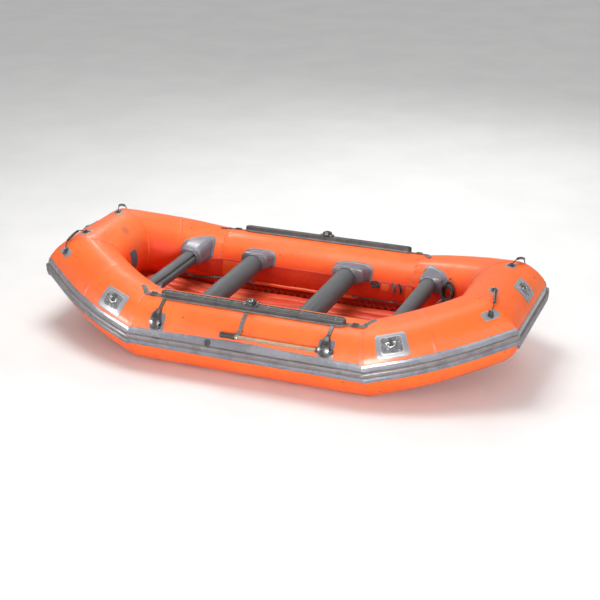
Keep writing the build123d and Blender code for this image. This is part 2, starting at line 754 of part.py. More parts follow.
quarter_base, quarter_ring = quarter_d_ring()
bow_base, bow_ring = end_d_ring(BOW_RING_Y)
stern_base, stern_ring = end_d_ring(STERN_RING_Y)
save("d_ring_patches", *four(quarter_base), bow_base, flip_x(stern_base))
save_corners("d_ring", quarter_ring)
save("d_ring_bow", bow_ring)
save("d_ring_stern", flip_x(stern_ring))

# ---------------------------------------------------------------- carry handles, four corners
# Two feet near the port bow corner, and the directions their anchors stand in.
INNER_FOOT, OUTER_FOOT = Vector(1725.0, 273.0, 769.0), Vector(1768.0, 530.0, 685.0)
INNER_N = Vector(0.12, 0.0, 0.993).normalized()
OUTER_N = Vector(0.47, 0.52, 0.70).normalized()
HANDLE_LIFT = 14.0
HANDLE_R = 4.0
HANDLE_GRIP_R = 10.5
INNER_EYE = INNER_FOOT + INNER_N * HANDLE_LIFT
OUTER_EYE = OUTER_FOOT + OUTER_N * HANDLE_LIFT
HANDLE_AXIS = (OUTER_EYE - INNER_EYE).normalized()
HANDLE_HALF = (OUTER_EYE - INNER_EYE).length / 2


def square_to_axis(v):
    return (v - HANDLE_AXIS * v.dot(HANDLE_AXIS)).normalized()


HANDLE_N = square_to_axis((INNER_N + OUTER_N).normalized())


def handle_pt(along, rise):
    return (INNER_EYE + OUTER_EYE) * 0.5 + HANDLE_AXIS * along + HANDLE_N * rise


def carry_handle():
    half = HANDLE_HALF
    inner_pin, outer_pin = handle_pt(-half + 16, 0), handle_pt(half - 16, 0)
    pins = fuse(cyl(handle_pt(-half - 13, 0), inner_pin, HANDLE_R),
                cyl(outer_pin, handle_pt(half + 13, 0), HANDLE_R),
                ball(inner_pin, HANDLE_R), ball(outer_pin, HANDLE_R))
    # (along, rise) from the outer pin towards the crown of the arch
    flank = [(half - 16, 0), (half - 36, 27), (half - 72, 46)]
    arch = [(-along, rise) for along, rise in flank] + [(0, 52)] + flank[::-1]
    points = [handle_pt(along, rise) for along, rise in arch]
    return largest(fuse(pins, rod(Edge.make_spline(points), HANDLE_R),
                        rod(Edge.make_spline(points[2:5]), HANDLE_GRIP_R)))


def handle_anchor(eye, normal):
    square = square_to_axis(normal)
    pad = block(eye - normal * HANDLE_LIFT, HANDLE_AXIS, normal, length=56.0, width=46.0,
                height=2.6, lift=4.0)
    post = block(eye - square * 6.0, HANDLE_AXIS, square, length=17.0, width=15.0,
                 height=9.0, lift=-4.0)
    anchor = fuse(pad, post, cyl(eye - HANDLE_AXIS * 8.5, eye + HANDLE_AXIS * 8.5, 8.5))
    bore = cyl(eye - HANDLE_AXIS * 30, eye + HANDLE_AXIS * 30, HANDLE_R + PIN_CLEARANCE)
    return largest(less(anchor, bore, quarter_fill, end_fill))


save_corners("carry_handle", carry_handle())
save("carry_handle_anchors", *four(handle_anchor(INNER_EYE, INNER_N)),
     *four(handle_anchor(OUTER_EYE, OUTER_N)))

# ---------------------------------------------------------------- valve, one in each side tube
FLANGE = GLUE + BAND_T + 0.4    # underside of the flange, just clear of the chafe band
FLANGE_TOP = FLANGE + 3.4
CAP_TOP = FLANGE + 10.5
VALVE_BORE_R = 17.0
STEM_R = 3.0
CAP_NOTCHES = 8
CAP_NOTCH_PITCH_R = 25.5


def valve_body():
    """Flanged cup with a guide bar across it for the poppet stem."""
    body = fuse(valve_cyl(-38, FLANGE_TOP, 20.0), valve_cyl(FLANGE, FLANGE_TOP, 26.0))
    body = less(body, valve_cyl(-34, 30, VALVE_BORE_R), valve_cyl(-50, -30, 9.5))
    guide = block(valve_pt(0), X_DIR, VALVE_N, length=35.0, width=9.0, height=4.0, lift=-20.0)
    guide = less(guide, valve_cyl(-40, 20, STEM_R + PIN_CLEARANCE))
    return largest(fuse(body, guide))


def valve_poppet():
    return fuse(valve_cyl(-42, -5, STEM_R), valve_cyl(-41.6, -38.3, 12.5),
                valve_cyl(-8, -3.0, 6.5))


def valve_spring():
    spring = rod(Edge.make_helix(pitch=1.7, height=6.0, radius=4.6), 0.55, is_frenet=True)
    return spring.moved(Plane(origin=valve_pt(-15.3), x_dir=X_DIR, z_dir=VALVE_N).location)


def valve_cap():
    cap = fuse(valve_cyl(FLANGE + 3.7, CAP_TOP, 23.5),
               valve_cyl(1.0, FLANGE + 4.0, VALVE_BORE_R - PIN_CLEARANCE))
    for i in range(CAP_NOTCHES):
        a = math.radians(360 / CAP_NOTCHES * i)
        base = valve_pt(0, CAP_NOTCH_PITCH_R * math.cos(a), CAP_NOTCH_PITCH_R * math.sin(a))
        cap = less(cap, cyl(base, base + VALVE_N * 30, 4.2))
    return less(cap, block(valve_pt(CAP_TOP), X_DIR, VALVE_N, length=8.0, width=30.0,
                           height=8.0, lift=-4.0))


save("valve_bodies", *both(valve_body()))
save_sides("valve_poppet", valve_poppet())
save_sides("valve_spring", valve_spring())
save_sides("valve_cap", valve_cap())

# ---------------------------------------------------------------- bow line coil
# Three turns hung on the inboard wall of the port bow quarter.
COIL_FRAME = quarter_frame(520.0)
COIL_ANGLE = 168.0
LINE_R = 9.5
COIL_TURNS = [(62.0, 12.0), (54.0, 31.4), (64.0, 50.8)]     # turn radius, lift off the tube


def coil_turn(turn_r, lift):
    plane = Plane(origin=on_section(COIL_FRAME, TUBE_R + lift, COIL_ANGLE),
                  z_dir=normal_at(COIL_FRAME, COIL_ANGLE))
    return Solid.make_torus(turn_r, LINE_R, plane)


save("bow_line_coil", *[coil_turn(*turn) for turn in COIL_TURNS])
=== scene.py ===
"""Inflatable raft, dressed over its CAD pieces. Metres throughout.

The boat lies along X with the bow at +X, port is +Y and up is +Z; the ground is z = 0.
Pieces are modelled at bow and port and mirrored with (end, side) signs: end is +1 at the bow,
-1 at the stern; side is +1 to port, -1 to starboard.

Places on the buoyancy tube are given by panel, station along its axis, and angle phi in
degrees round the section: 0 is outboard, 90 is up, 180 is inboard. The panels are:
  side    straight port tube, station = x
  bevel   curved tube from the shoulder to the corner, station = length from the shoulder
  end     straight cross tube, station = y
  chain   bevel, end and starboard bevel as one relaxed surface, station = length from the
          port shoulder
"""
import math
from functools import cached_property

import bpy
import bmesh
import numpy as np
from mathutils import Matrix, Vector


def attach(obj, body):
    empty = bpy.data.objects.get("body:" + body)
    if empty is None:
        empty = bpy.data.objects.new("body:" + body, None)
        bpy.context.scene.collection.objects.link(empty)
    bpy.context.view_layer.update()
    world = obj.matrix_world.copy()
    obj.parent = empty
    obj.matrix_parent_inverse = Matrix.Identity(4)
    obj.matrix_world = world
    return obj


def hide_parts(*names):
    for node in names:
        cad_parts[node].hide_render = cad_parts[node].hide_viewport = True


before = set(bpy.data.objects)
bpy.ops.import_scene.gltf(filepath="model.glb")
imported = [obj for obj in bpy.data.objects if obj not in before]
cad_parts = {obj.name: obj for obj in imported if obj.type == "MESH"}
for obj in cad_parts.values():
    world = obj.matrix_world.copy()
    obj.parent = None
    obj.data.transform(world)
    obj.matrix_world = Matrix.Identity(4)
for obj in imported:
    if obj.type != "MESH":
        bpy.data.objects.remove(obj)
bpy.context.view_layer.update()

PI = math.pi
rad = math.radians
ENDS = ((1, "bow"), (-1, "stern"))
SIDES = ((1, "port"), (-1, "starboard"))
CORNERS = [(1, 1), (1, -1), (-1, 1), (-1, -1)]
FLIP_X = [-1, 1, 1]
FLIP_Y = [1, -1, 1]


# ---------------------------------------------------------------- vector and path helpers
def unit(vector):
    return vector / np.linalg.norm(vector)


def units(vectors):
    return vectors / np.linalg.norm(vectors, axis=-1)[..., None]


def smoothstep(x):
    x = np.clip(x, 0, 1)
    return x * x * (3 - 2 * x)


def lengths(points):
    """Running length along a path."""
    return np.r_[0, np.cumsum(np.linalg.norm(np.diff(points, axis=0), axis=1))]


def at_length(where, running, values):
    """Rows of values interpolated at the given length or lengths."""
    return np.stack([np.interp(where, running, values[:, i]) for i in range(3)], -1)


def resample(points, step):
    running = lengths(points)
    count = int(round(running[-1] / step)) + 1
    return at_length(np.linspace(0, running[-1], count), running, points)


def smooth_path(points, steps, closed=False):
    """Catmull-Rom curve through the points, with `steps` points to each span."""
    points = np.asarray(points, float)
    if closed:
        knots = np.concatenate([points[-1:], points, points[:2]])
    else:
        before, after = 2 * points[0] - points[1], 2 * points[-1] - points[-2]
        knots = np.concatenate([[before], points, [after]])
    curve = []
    for before, start, stop, after in zip(knots, knots[1:], knots[2:], knots[3:]):
        for i in range(steps):
            t = i / steps
            curve.append(0.5 * (2 * start + (stop - before) * t
                                + (2 * before - 5 * start + 4 * stop - after) * t * t
                                + (3 * start - before - 3 * stop + after) * t ** 3))
    if not closed:
        curve.append(points[-1])
    return np.array(curve)


# ---------------------------------------------------------------- tube axis
TUBE_R = 0.281
SIDE_Y, SIDE_Z = 0.742, TUBE_R         # axis of the side tube, which rests on the ground
SHOULDER_X = 0.917                     # where side tube and bevel meet
END_X, END_Y, END_Z = 1.691, 0.3425, 0.490    # where bevel and cross tube meet
SHOULDER = np.array([SHOULDER_X, SIDE_Y, SIDE_Z])
KNEE = np.array([1.288, 0.630, 0.368])        # control point of the bevel's bend
CORNER = np.array([END_X, END_Y, END_Z])
LEAD_IN, BEND, LEAD_OUT = 0.100, 0.612, 0.170    # straight, curved and straight lengths
BEVEL_LEN = LEAD_IN + BEND + LEAD_OUT
CHAIN_LEN = 2 * BEVEL_LEN + 2 * END_Y
X_DIR, Y_DIR, Z_DIR = np.eye(3)
DIR_IN, DIR_OUT = unit(KNEE - SHOULDER), unit(CORNER - KNEE)
BEND_START, BEND_END = SHOULDER + DIR_IN * LEAD_IN, CORNER - DIR_OUT * LEAD_OUT
SHOULDER_CUT = unit(X_DIR + DIR_IN)
CORNER_CUT = unit(DIR_OUT - Y_DIR)
# spread of the mitre along the tube, depth of the folds beside it, reach of the folds
SHOULDER_SPREAD = (0.16, 0.0042, 0.085)
CORNER_SPREAD = (0.30, 0.0034, 0.11)
# panel: station, cutting plane normal and spread of each mitre
MITRES = {
    "side": [(-SHOULDER_X, SHOULDER_CUT * FLIP_X, *SHOULDER_SPREAD),
             (SHOULDER_X, SHOULDER_CUT, *SHOULDER_SPREAD)],
    "bevel": [(0.0, SHOULDER_CUT, *SHOULDER_SPREAD), (BEVEL_LEN, CORNER_CUT, *CORNER_SPREAD)],
    "end": [(END_Y, CORNER_CUT, *CORNER_SPREAD),
            (-END_Y, CORNER_CUT * FLIP_Y * [-1, 1, -1] * FLIP_Y, *CORNER_SPREAD)],
}
# panel: axis origin, direction of rising station, tangent, outboard direction
STRAIGHT = {
    "side": (np.array([0, SIDE_Y, SIDE_Z]), X_DIR, X_DIR, Y_DIR),
    "end": (np.array([END_X, 0, END_Z]), Y_DIR, -Y_DIR, X_DIR),
}


def frames(panel, along):
    """Axis point, tangent, outboard and upward directions at each station."""
    along = np.atleast_1d(np.asarray(along, float))
    if panel in STRAIGHT:
        origin, course, tangent, out = STRAIGHT[panel]
        centre = origin + along[:, None] * course
        return centre, *(np.tile(way, (len(along), 1)) for way in (tangent, out, Z_DIR))
    u = np.clip((along - LEAD_IN) / BEND, 0, 1)[:, None]
    centre = BEND_START * (1 - u) ** 2 + KNEE * 2 * u * (1 - u) + BEND_END * u * u
    tangent = (KNEE - BEND_START) * (1 - u) + (BEND_END - KNEE) * u
    centre = (centre + DIR_IN * np.minimum(along - LEAD_IN, 0)[:, None]
              + DIR_OUT * np.maximum(along - LEAD_IN - BEND, 0)[:, None])
    tangent = units(tangent)
    out = units(np.cross(Z_DIR, tangent))
    return centre, tangent, out, np.cross(tangent, out)


def grid(panel, along, phi, height):
    """Mitred points (stations, angles, 3) at a height above the tube's nominal radius."""
    along = np.atleast_1d(np.asarray(along, float))
    phi = np.radians(np.atleast_2d(np.asarray(phi, float)))
    centre, tangent, out, up = (part[:, None] for part in frames(panel, along))
    radius = np.broadcast_to(TUBE_R + height, (len(along), phi.shape[1]))[..., None]
    points = centre + radius * (np.cos(phi)[..., None] * out + np.sin(phi)[..., None] * up)
    for station, cut, spread, _, _ in MITRES[panel]:
        weight = smoothstep(1 - np.abs(along - station) / spread)[:, None, None]
        facing = np.sign(tangent @ cut)[..., None]
        plane = units(tangent * (1 - weight) + cut * facing * weight)
        slide = ((centre - points) * plane).sum(2) / (tangent * plane).sum(2)
        points = points + tangent * np.where(weight[..., 0] > 0, slide, 0.0)[..., None]
    return points


def surface(panel, along, phi, height):
    """Points and normals at a height above the surface, without mitres; arrays broadcast."""
    if panel == "chain":
        return chain_surface(along, phi, height)
    along, phi = np.broadcast_arrays(np.asarray(along, float), np.radians(phi))
    centre, _, out, up = (part.reshape(along.shape + (3,))
                          for part in frames(panel, along.ravel()))
    normal = np.cos(phi)[..., None] * out + np.sin(phi)[..., None] * up
    return centre + normal * (TUBE_R + np.asarray(height)[..., None]), normal


def point(panel, along, phi, height):
    return surface(panel, along, phi, height)[0]


def arc(degrees):
    """Length round the tube of an angle."""
    return rad(degrees) * TUBE_R


# ---------------------------------------------------------------- mesh building
class Mesh:
    def __init__(self):
        self.verts, self.faces, self.slots, self.count = [], [], [], 0

    def add(self, verts, faces, slot=0, mirror=(1, 1)):
        """slot is one material index, or one for each face."""
        verts = np.asarray(verts, float).reshape(-1, 3) * [*mirror, 1]
        order = -1 if mirror[0] * mirror[1] < 0 else 1
        for face in faces:
            self.faces.append([int(i) + self.count for i in face][::order])
        self.slots += [slot] * len(faces) if isinstance(slot, int) else slot
        self.verts.append(verts)
        self.count += len(verts)

    def loft(self, rings, slot=0, mirror=(1, 1)):
        """Closed sections with fan caps; slot may be a list with one index per section point."""
        rings = np.asarray(rings, float)
        rows, cols = rings.shape[:2]
        faces = ring_faces(rows, cols)
        if not isinstance(slot, int):
            slot = slot * (rows - 1) + [0] * (2 * cols)
        first, last = rows * cols, rows * cols + 1
        for j in range(cols):
            following = (j + 1) % cols
            faces.append((first, following, j))
            faces.append((last, (rows - 1) * cols + j, (rows - 1) * cols + following))
        verts = np.r_[rings.reshape(-1, 3), [rings[0].mean(0)], [rings[-1].mean(0)]]
        self.add(verts, faces, slot, mirror)

    def shell(self, top, bottom, slot=0, mirror=(1, 1), closed=False):
        """Two matching open grids joined round their rims into one closed sheet."""
        top, bottom = np.asarray(top, float), np.asarray(bottom, float)
        rows, cols = top.shape[:2]
        under = rows * cols
        spans = [(i * cols, (i + 1) % rows * cols) for i in range(rows if closed else rows - 1)]
        faces = []
        for start, stop in spans:
            for j in range(cols - 1):
                near, far = start + j, stop + j
                faces.append((near, near + 1, far + 1, far))
                faces.append((near + under, far + under, far + 1 + under, near + 1 + under))
        for start, stop in spans:
            far = stop + cols - 1
            near = start + cols - 1
            faces.append((start, stop, stop + under, start + under))
            faces.append((near, near + under, far + under, far))
        if not closed:
            for j in range(cols - 1):
                far = (rows - 1) * cols + j
                faces.append((j, j + under, j + 1 + under, j + 1))
                faces.append((far, far + 1, far + 1 + under, far + under))
        self.add(np.r_[top.reshape(-1, 3), bottom.reshape(-1, 3)], faces, slot, mirror)

    def sweep(self, path, radius, segments, slot=0, mirror=(1, 1), closed=False, pitch=None):
        """Round tube along path. radius is a number or a function of 0..1 along the path;
        pitch, if given, lays three rope strands with that spacing."""
        path = np.asarray(path, float)
        count = len(path)
        step = np.roll(path, -1, 0) - np.roll(path, 1, 0) if closed else np.gradient(path, axis=0)
        tangent = units(step)
        normal = Z_DIR if abs(tangent[0][2]) < 0.9 else X_DIR
        normals = []
        for way in tangent:
            normal = unit(normal - way * (normal @ way))
            normals.append(normal)
        normals = np.array(normals)
        if closed:
            # spread the closing twist along the loop
            first, last = normals[0], normals[-1]
            twist = math.atan2(last @ np.cross(tangent[0], first), last @ first)
            for i in range(count):
                turn = -twist * i / (count - 1)
                normals[i] = (normals[i] * math.cos(turn)
                              + np.cross(tangent[i], normals[i]) * math.sin(turn))
        side = np.cross(tangent, normals)
        running = lengths(path)
        if callable(radius):
            radius = np.array([radius(value / running[-1]) for value in running])[:, None]
        angle = np.linspace(0, 2 * PI, segments, endpoint=False)
        reach = radius * np.ones((count, segments))
        if pitch:
            lay = angle[None] + 2 * PI * running[:, None] / (pitch * 3)
            reach = reach * (0.8 + 0.2 * np.abs(np.cos(1.5 * lay)))
        rings = path[:, None] + reach[..., None] * (
            np.cos(angle)[None, :, None] * normals[:, None]
            + np.sin(angle)[None, :, None] * side[:, None])
        if closed:
            self.add(rings, ring_faces(count, segments, True), slot, mirror)
        else:
            self.loft(rings, slot, mirror)

    def stitch(self, centre, along, across, normal, slot, mirror, length=0.0036):
        """One raised thread stitch, 0.8 mm to each side and 0.6 mm high."""
        rings = [[centre + along * length * shift + across * 0.0008 * u * swell
                  + normal * 0.0006 * v * swell
                  for u, v in ((-1, 0), (-0.5, 1), (0.5, 1), (1, 0), (0, -0.5))]
                 for shift, swell in ((-0.5, 0.5), (-0.25, 1.0), (0.25, 1.0), (0.5, 0.5))]
        self.loft(rings, slot, mirror)

    def stitch_bar(self, centre, along, across, normal, slot, mirror, half=0.0135, pitch=0.0054):
        """Row of stitches laid end to end."""
        for offset in np.arange(-half, half + 0.0001, pitch):
            self.stitch(centre + along * offset, along, across, normal, slot, mirror)

    def ribbon(self, path, across, width, thick, slot=0, mirror=(1, 1), seam=None, facing=None):
        """Flat strap; across is its width direction. seam puts a stitch line (in the next
        material slot) at that distance to each side of the middle."""
        path = np.asarray(path, float)
        tangent = units(np.gradient(path, axis=0))
        across = np.broadcast_to(np.asarray(across, float), path.shape)
        across = units(across - tangent * (across * tangent).sum(1)[:, None])
        normal = np.cross(across, tangent)
        if facing is not None and normal[0] @ facing < 0:
            normal = -normal
        # section as fractions of half width and of thickness
        section = [(-1, 0), (-0.97, 0.45), (-0.85, 0.5), (0, 0.525), (0.85, 0.5), (0.97, 0.45),
                   (1, 0), (0.97, -0.45), (0.5, -0.5), (-0.5, -0.5), (-0.97, -0.45)]
        self.loft([[place + wide * width / 2 * u + high * thick * v for u, v in section]
                   for place, wide, high in zip(path, across, normal)], slot, mirror)
        if seam:
            running = lengths(path)
            for offset in (-seam, seam):
                for where in np.arange(0.004, running[-1] - 0.004, 0.0062):
                    centre, along, wide, high = (at_length(where, running, values)
                                                 for values in (path, tangent, across, normal))
                    along, wide, high = unit(along), unit(wide), unit(high)
                    centre = centre + wide * offset + high * (thick / 2 + 0.0001)
                    self.stitch(centre, along, wide, high, slot + 1, mirror)

    def build(self, name, materials, angle, slot, replaces=()):
        """Make the object; edges sharper than angle (degrees) are shaded hard."""
        data = bpy.data.meshes.new(name)
        data.from_pydata(np.concatenate(self.verts).tolist(), [], self.faces)
        piece = bpy.data.objects.new(name, data)
        bpy.context.scene.collection.objects.link(piece)
        for material in materials:
            data.materials.append(material)
        data.polygons.foreach_set("material_index", np.array(self.slots, np.int32))
        work = bmesh.new()
        work.from_mesh(data)
        bmesh.ops.remove_doubles(work, verts=work.verts, dist=1e-6)
        bmesh.ops.dissolve_degenerate(work, dist=1e-7, edges=work.edges)
        bmesh.ops.recalc_face_normals(work, faces=work.faces)
        work.to_mesh(data)
        work.free()
        data.shade_smooth()
        data.set_sharp_from_angle(angle=rad(angle))
        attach(piece, "hull")
        if replaces:
            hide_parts(*replaces)


def ring_faces(rows, cols, closed=False):
    """Quads between successive closed rings; closed joins the last ring to the first."""
    faces = []
    for i in range(rows if closed else rows - 1):
        start, stop = i * cols, (i + 1) % rows * cols
        for j in range(cols):
            following = (j + 1) % cols
            faces.append((start + j, start + following, stop + following, stop + j))
    return faces


def rounded(counts, half_size, corner):
    """Grid filling a rounded rectangle, and each point's 0..1 distance from the middle."""
    steps = np.meshgrid(*(np.linspace(-1, 1, count) for count in counts), indexing="ij")
    x, y = (step * half for step, half in zip(steps, half_size))
    ring = np.maximum(*np.abs(steps))
    # pull corner points onto the rounded outline, fading inwards
    core_x, core_y = (ring * (half - corner) for half in half_size)
    over_x, over_y = np.abs(x) - core_x, np.abs(y) - core_y
    inside = (over_x > 0) & (over_y > 0)
    pull = (np.maximum(np.maximum(over_x, over_y), 1e-9)
            / np.maximum(np.hypot(over_x, over_y), 1e-9))
    x = np.where(inside, (core_x + over_x * pull) * np.sign(x), x)
    y = np.where(inside, (core_y + over_y * pull) * np.sign(y), y)
    return x, y, ring


def patch(mesh, panel, centre, half_size, corner, base, thick, counts, rim, slot=0,
          mirror=(1, 1), thin=0.35, sink=0.0006):
    """Bonded rounded rectangle wrapped on the tube, centred at (station, phi). Over the rim
    fraction its thickness falls to the share thin; its underside is sink below base."""
    x, y, ring = rounded(counts, half_size, corner)
    height = thick * (thin + (1 - thin) * smoothstep((1 - ring) / rim))
    along, phi = centre[0] + x, centre[1] + np.degrees(y / TUBE_R)
    mesh.shell(point(panel, along, phi, base + height), point(panel, along, phi, base - sink),
               slot, mirror)


def chain_patch(mesh, centre, half_size, corner, mirror):
    patch(mesh, "chain", centre, half_size, corner, base=0.0, thick=0.0018, counts=(25, 21),
          rim=0.08, mirror=mirror, thin=0.3, sink=0.004)


# ---------------------------------------------------------------- materials
def linear(rgb):
    """Linear colour from 0..255 sRGB."""
    return tuple(((x / 255 + 0.055) / 1.055) ** 2.4 if x > 10 else x / 255 / 12.92
                 for x in rgb) + (1.0,)


class Shader:
    """Node graph whose colour is painted in layers over a base."""

    def __init__(self, name, base=(0, 0, 0)):
        self.material = bpy.data.materials.new(name)
        self.material.use_nodes = True
        self.tree = self.material.node_tree
        self.tree.nodes.clear()
        output = self.node("OutputMaterial")
        self.principled = self.node("BsdfPrincipled")
        self.feed(output.inputs[0], self.principled.outputs[0])
        self.coords = self.node("TexCoord").outputs["Object"]
        self.color = linear(base)

    @cached_property
    def geometry(self):
        return self.node("NewGeometry").outputs

    def node(self, kind, **settings):
        node = self.tree.nodes.new("ShaderNode" + kind)
        for key, value in settings.items():
            setattr(node, key, value)
        return node

    def feed(self, socket, value):
        if isinstance(value, bpy.types.NodeSocket):
            self.tree.links.new(value, socket)
        else:
            socket.default_value = value

    def filled(self, kind, inputs, **settings):
        """Node with its inputs fed by name or index."""
        node = self.node(kind, **settings)
        for key, value in inputs.items():
            self.feed(node.inputs[key], value)
        return node

    def noise(self, scale, detail=3.0, rough=0.55, vector=None, distort=0.0):
        return self.filled("TexNoise", {
            "Vector": vector or self.coords, "Scale": scale, "Detail": detail,
            "Roughness": rough, "Distortion": distort}).outputs[0]

    def voronoi(self, scale):
        inputs = {"Vector": self.coords, "Scale": scale}
        return self.filled("TexVoronoi", inputs, feature="F1").outputs["Distance"]

    def wave(self, pitch, axis):
        """Bands repeating at a pitch in metres."""
        inputs = {"Vector": self.coords, "Scale": 0.31416 / pitch, "Distortion": 0.0}
        return self.filled("TexWave", inputs, bands_direction=axis).outputs["Fac"]

    def mapped(self, scale, turn=(0, 0, 0)):
        inputs = {"Vector": self.coords, "Scale": scale, "Rotation": turn}
        return self.filled("Mapping", inputs).outputs[0]

    def ramp(self, value, span, to=(0.0, 1.0)):
        """Smooth map of a span of values to another; also a mask when to is 0..1."""
        return self.filled("MapRange", {
            "Value": value, "From Min": span[0], "From Max": span[1],
            "To Min": to[0], "To Max": to[1]}, interpolation_type="SMOOTHSTEP").outputs[0]

    def clouds(self, span, to=(0.0, 1.0), **noise):
        return self.ramp(self.noise(**noise), span, to)

    def mix(self, first, second, factor):
        inputs = {0: factor, 6: first, 7: second}
        return self.filled("Mix", inputs, data_type="RGBA", blend_type="MIX").outputs[2]

    def paint(self, rgb, mask):
        self.color = self.mix(self.color, linear(rgb), mask)

    def math(self, operation, *values):
        inputs = dict(enumerate(values))
        return self.filled("Math", inputs, operation=operation).outputs[0]

    def split(self, vector):
        return self.filled("SeparateXYZ", {0: vector}).outputs

    def bump(self, height, distance, strength, below=None):
        inputs = {"Strength": strength, "Distance": distance, "Height": height}
        if below is not None:
            inputs["Normal"] = below
        return self.filled("Bump", inputs).outputs[0]

    def finish(self, rough, normal, **inputs):
        """Feed the surface; keyword names are its inputs with _ for spaces."""
        inputs.update(Base_Color=self.color, Roughness=rough, Normal=normal)
        for key, value in inputs.items():
            self.feed(self.principled.inputs[key.replace("_", " ")], value)
        return self.material


def coated(name, base, light, dark, *, rough=(0.34, 0.52), wrinkle=0.0012, specks=0.5,
           speck_rgb=(96, 44, 26), top=0.25, low=0.35, stain=0.25, stain_rgb=(150, 84, 56),
           coat=0.0, specular=0.5, inside_shade_rgb=None, streaks=(), smudges_and_shade=()):
    """Coated tube fabric: fine weave, soft wrinkles, lighter upward faces (painted top light, partly
    sun fading), low grime, specks, scuffs, and optional painted shade low inside the boat and smudge
    marks, some of them painted shade.
    """
    shader = Shader(name, base)
    paint, clouds, ramp, maths = shader.paint, shader.clouds, shader.ramp, shader.math
    # broad fading and darkening, then fine mottle
    paint(light, clouds(scale=1.7, detail=4, rough=0.6, span=(0.45, 0.72), to=(0, 0.6)))
    paint(dark, clouds(scale=3.1, detail=5, rough=0.62, distort=0.4, span=(0.52, 0.78),
                       to=(0, 0.5)))
    paint(dark, clouds(scale=38, detail=3, rough=0.6, span=(0.5, 0.8), to=(0, 0.35)))
    # lighter on upward faces: painted top light, partly sun fading
    facing_up = shader.split(shader.geometry["Normal"])[2]
    paint(light, ramp(facing_up, span=(0.45, 1.0), to=(0, top)))
    world_z = shader.split(shader.geometry["Position"])[2]
    grime = maths("MULTIPLY", ramp(world_z, span=(0.0, 0.16), to=(1, 0)),
                  clouds(scale=9, detail=5, rough=0.65, span=(0.3, 0.7)))
    paint(dark, maths("MULTIPLY", grime, low))
    # long smears
    paint(stain_rgb, clouds(scale=2.3, detail=6, rough=0.7, distort=1.2,
                            vector=shader.mapped((0.5, 1.6, 1.6)),
                            span=(0.62, 0.75), to=(0, stain)))
    # coarse and fine dark specks, each thinned out by a broad mask
    coarse = maths("MULTIPLY", ramp(shader.voronoi(scale=12.0), span=(0.060, 0.105), to=(1, 0)),
                   clouds(scale=2.6, span=(0.49, 0.57), to=(0, min(1.0, specks * 1.5))))
    fine = maths("MULTIPLY", ramp(shader.voronoi(scale=31.0), span=(0.06, 0.11), to=(1, 0)),
                 clouds(scale=3.7, span=(0.56, 0.66), to=(0, specks)))
    paint(speck_rgb, maths("MAXIMUM", coarse, fine))
    # scratches
    paint(light, clouds(scale=14, detail=2, rough=0.5,
                        vector=shader.mapped((0.25, 3.2, 3.2), turn=(0.2, 0.5, 0.3)),
                        span=(0.70, 0.74), to=(0, 0.22)))
    if inside_shade_rgb:
        # painted shade: deeper colour low down on the walls inside the boat, where tubes and thwarts
        # shade them, rising with the ends
        world_x, world_y, _ = shader.split(shader.geometry["Position"])[:3]
        from_middle = maths("ABSOLUTE", world_x)
        inside = maths("MULTIPLY",
                       ramp(maths("ABSOLUTE", world_y), span=(0.52, 0.60), to=(1, 0)),
                       ramp(from_middle, span=(1.42, 1.53), to=(1, 0)))
        level = maths("SUBTRACT", world_z, ramp(from_middle, span=(0.95, 1.45), to=(0, 0.17)))
        inside = maths("MULTIPLY", inside, ramp(level, span=(0.34, 0.51), to=(0.9, 0)))
        paint(inside_shade_rgb, inside)
    if streaks:
        # dark, then light streaks along the boat
        light_streak, dark_streak = streaks
        paint(dark_streak, clouds(scale=2.1, detail=5, rough=0.62, distort=0.5,
                                  vector=shader.mapped((0.45, 9.0, 1.0)),
                                  span=(0.53, 0.68), to=(0, 0.6)))
        paint(light_streak, clouds(scale=1.6, detail=5, rough=0.66, distort=0.8,
                                   vector=shader.mapped((0.6, 6.5, 1.0), turn=(0, 0, 0.04)),
                                   span=(0.53, 0.68), to=(0, 0.8)))
    # smudge marks in the stain colour; on the hull, the broad ones on the inner curves of the end
    # tubes are painted shade
    for *place, size, amount in smudges_and_shade:
        inputs = {0: shader.geometry["Position"], 1: place}
        distance = shader.filled("VectorMath", inputs, operation="DISTANCE").outputs["Value"]
        ragged = maths("MULTIPLY", shader.noise(scale=16, detail=4, rough=0.65), size * 1.1)
        paint(stain_rgb, ramp(maths("ADD", distance, ragged),
                              span=(size * 0.75, size * 1.45), to=(amount, 0)))
    roughness = clouds(scale=5.5, detail=5, rough=0.6, span=(0.3, 0.75), to=rough)
    roughness = maths("ADD", roughness, maths("MULTIPLY", grime, 0.18))
    if inside_shade_rgb:
        roughness = maths("ADD", roughness, maths("MULTIPLY", inside, 0.25))
    thread = 0.0012
    weave = maths("MULTIPLY", shader.wave(thread, "X"),
                  maths("ADD", shader.wave(thread, "Z"), shader.wave(thread, "Y")))
    normal = shader.bump(weave, distance=0.00006, strength=0.8)
    normal = shader.bump(shader.noise(scale=55, detail=4, rough=0.6),
                         distance=0.0005, strength=0.5, below=normal)
    normal = shader.bump(shader.noise(scale=7.5, detail=4, rough=0.6, distort=0.6),
                         distance=wrinkle * 2.2, strength=0.7, below=normal)
    return shader.finish(roughness, normal, Coat_Weight=coat, Coat_Roughness=0.25,
                         Specular_IOR_Level=specular)


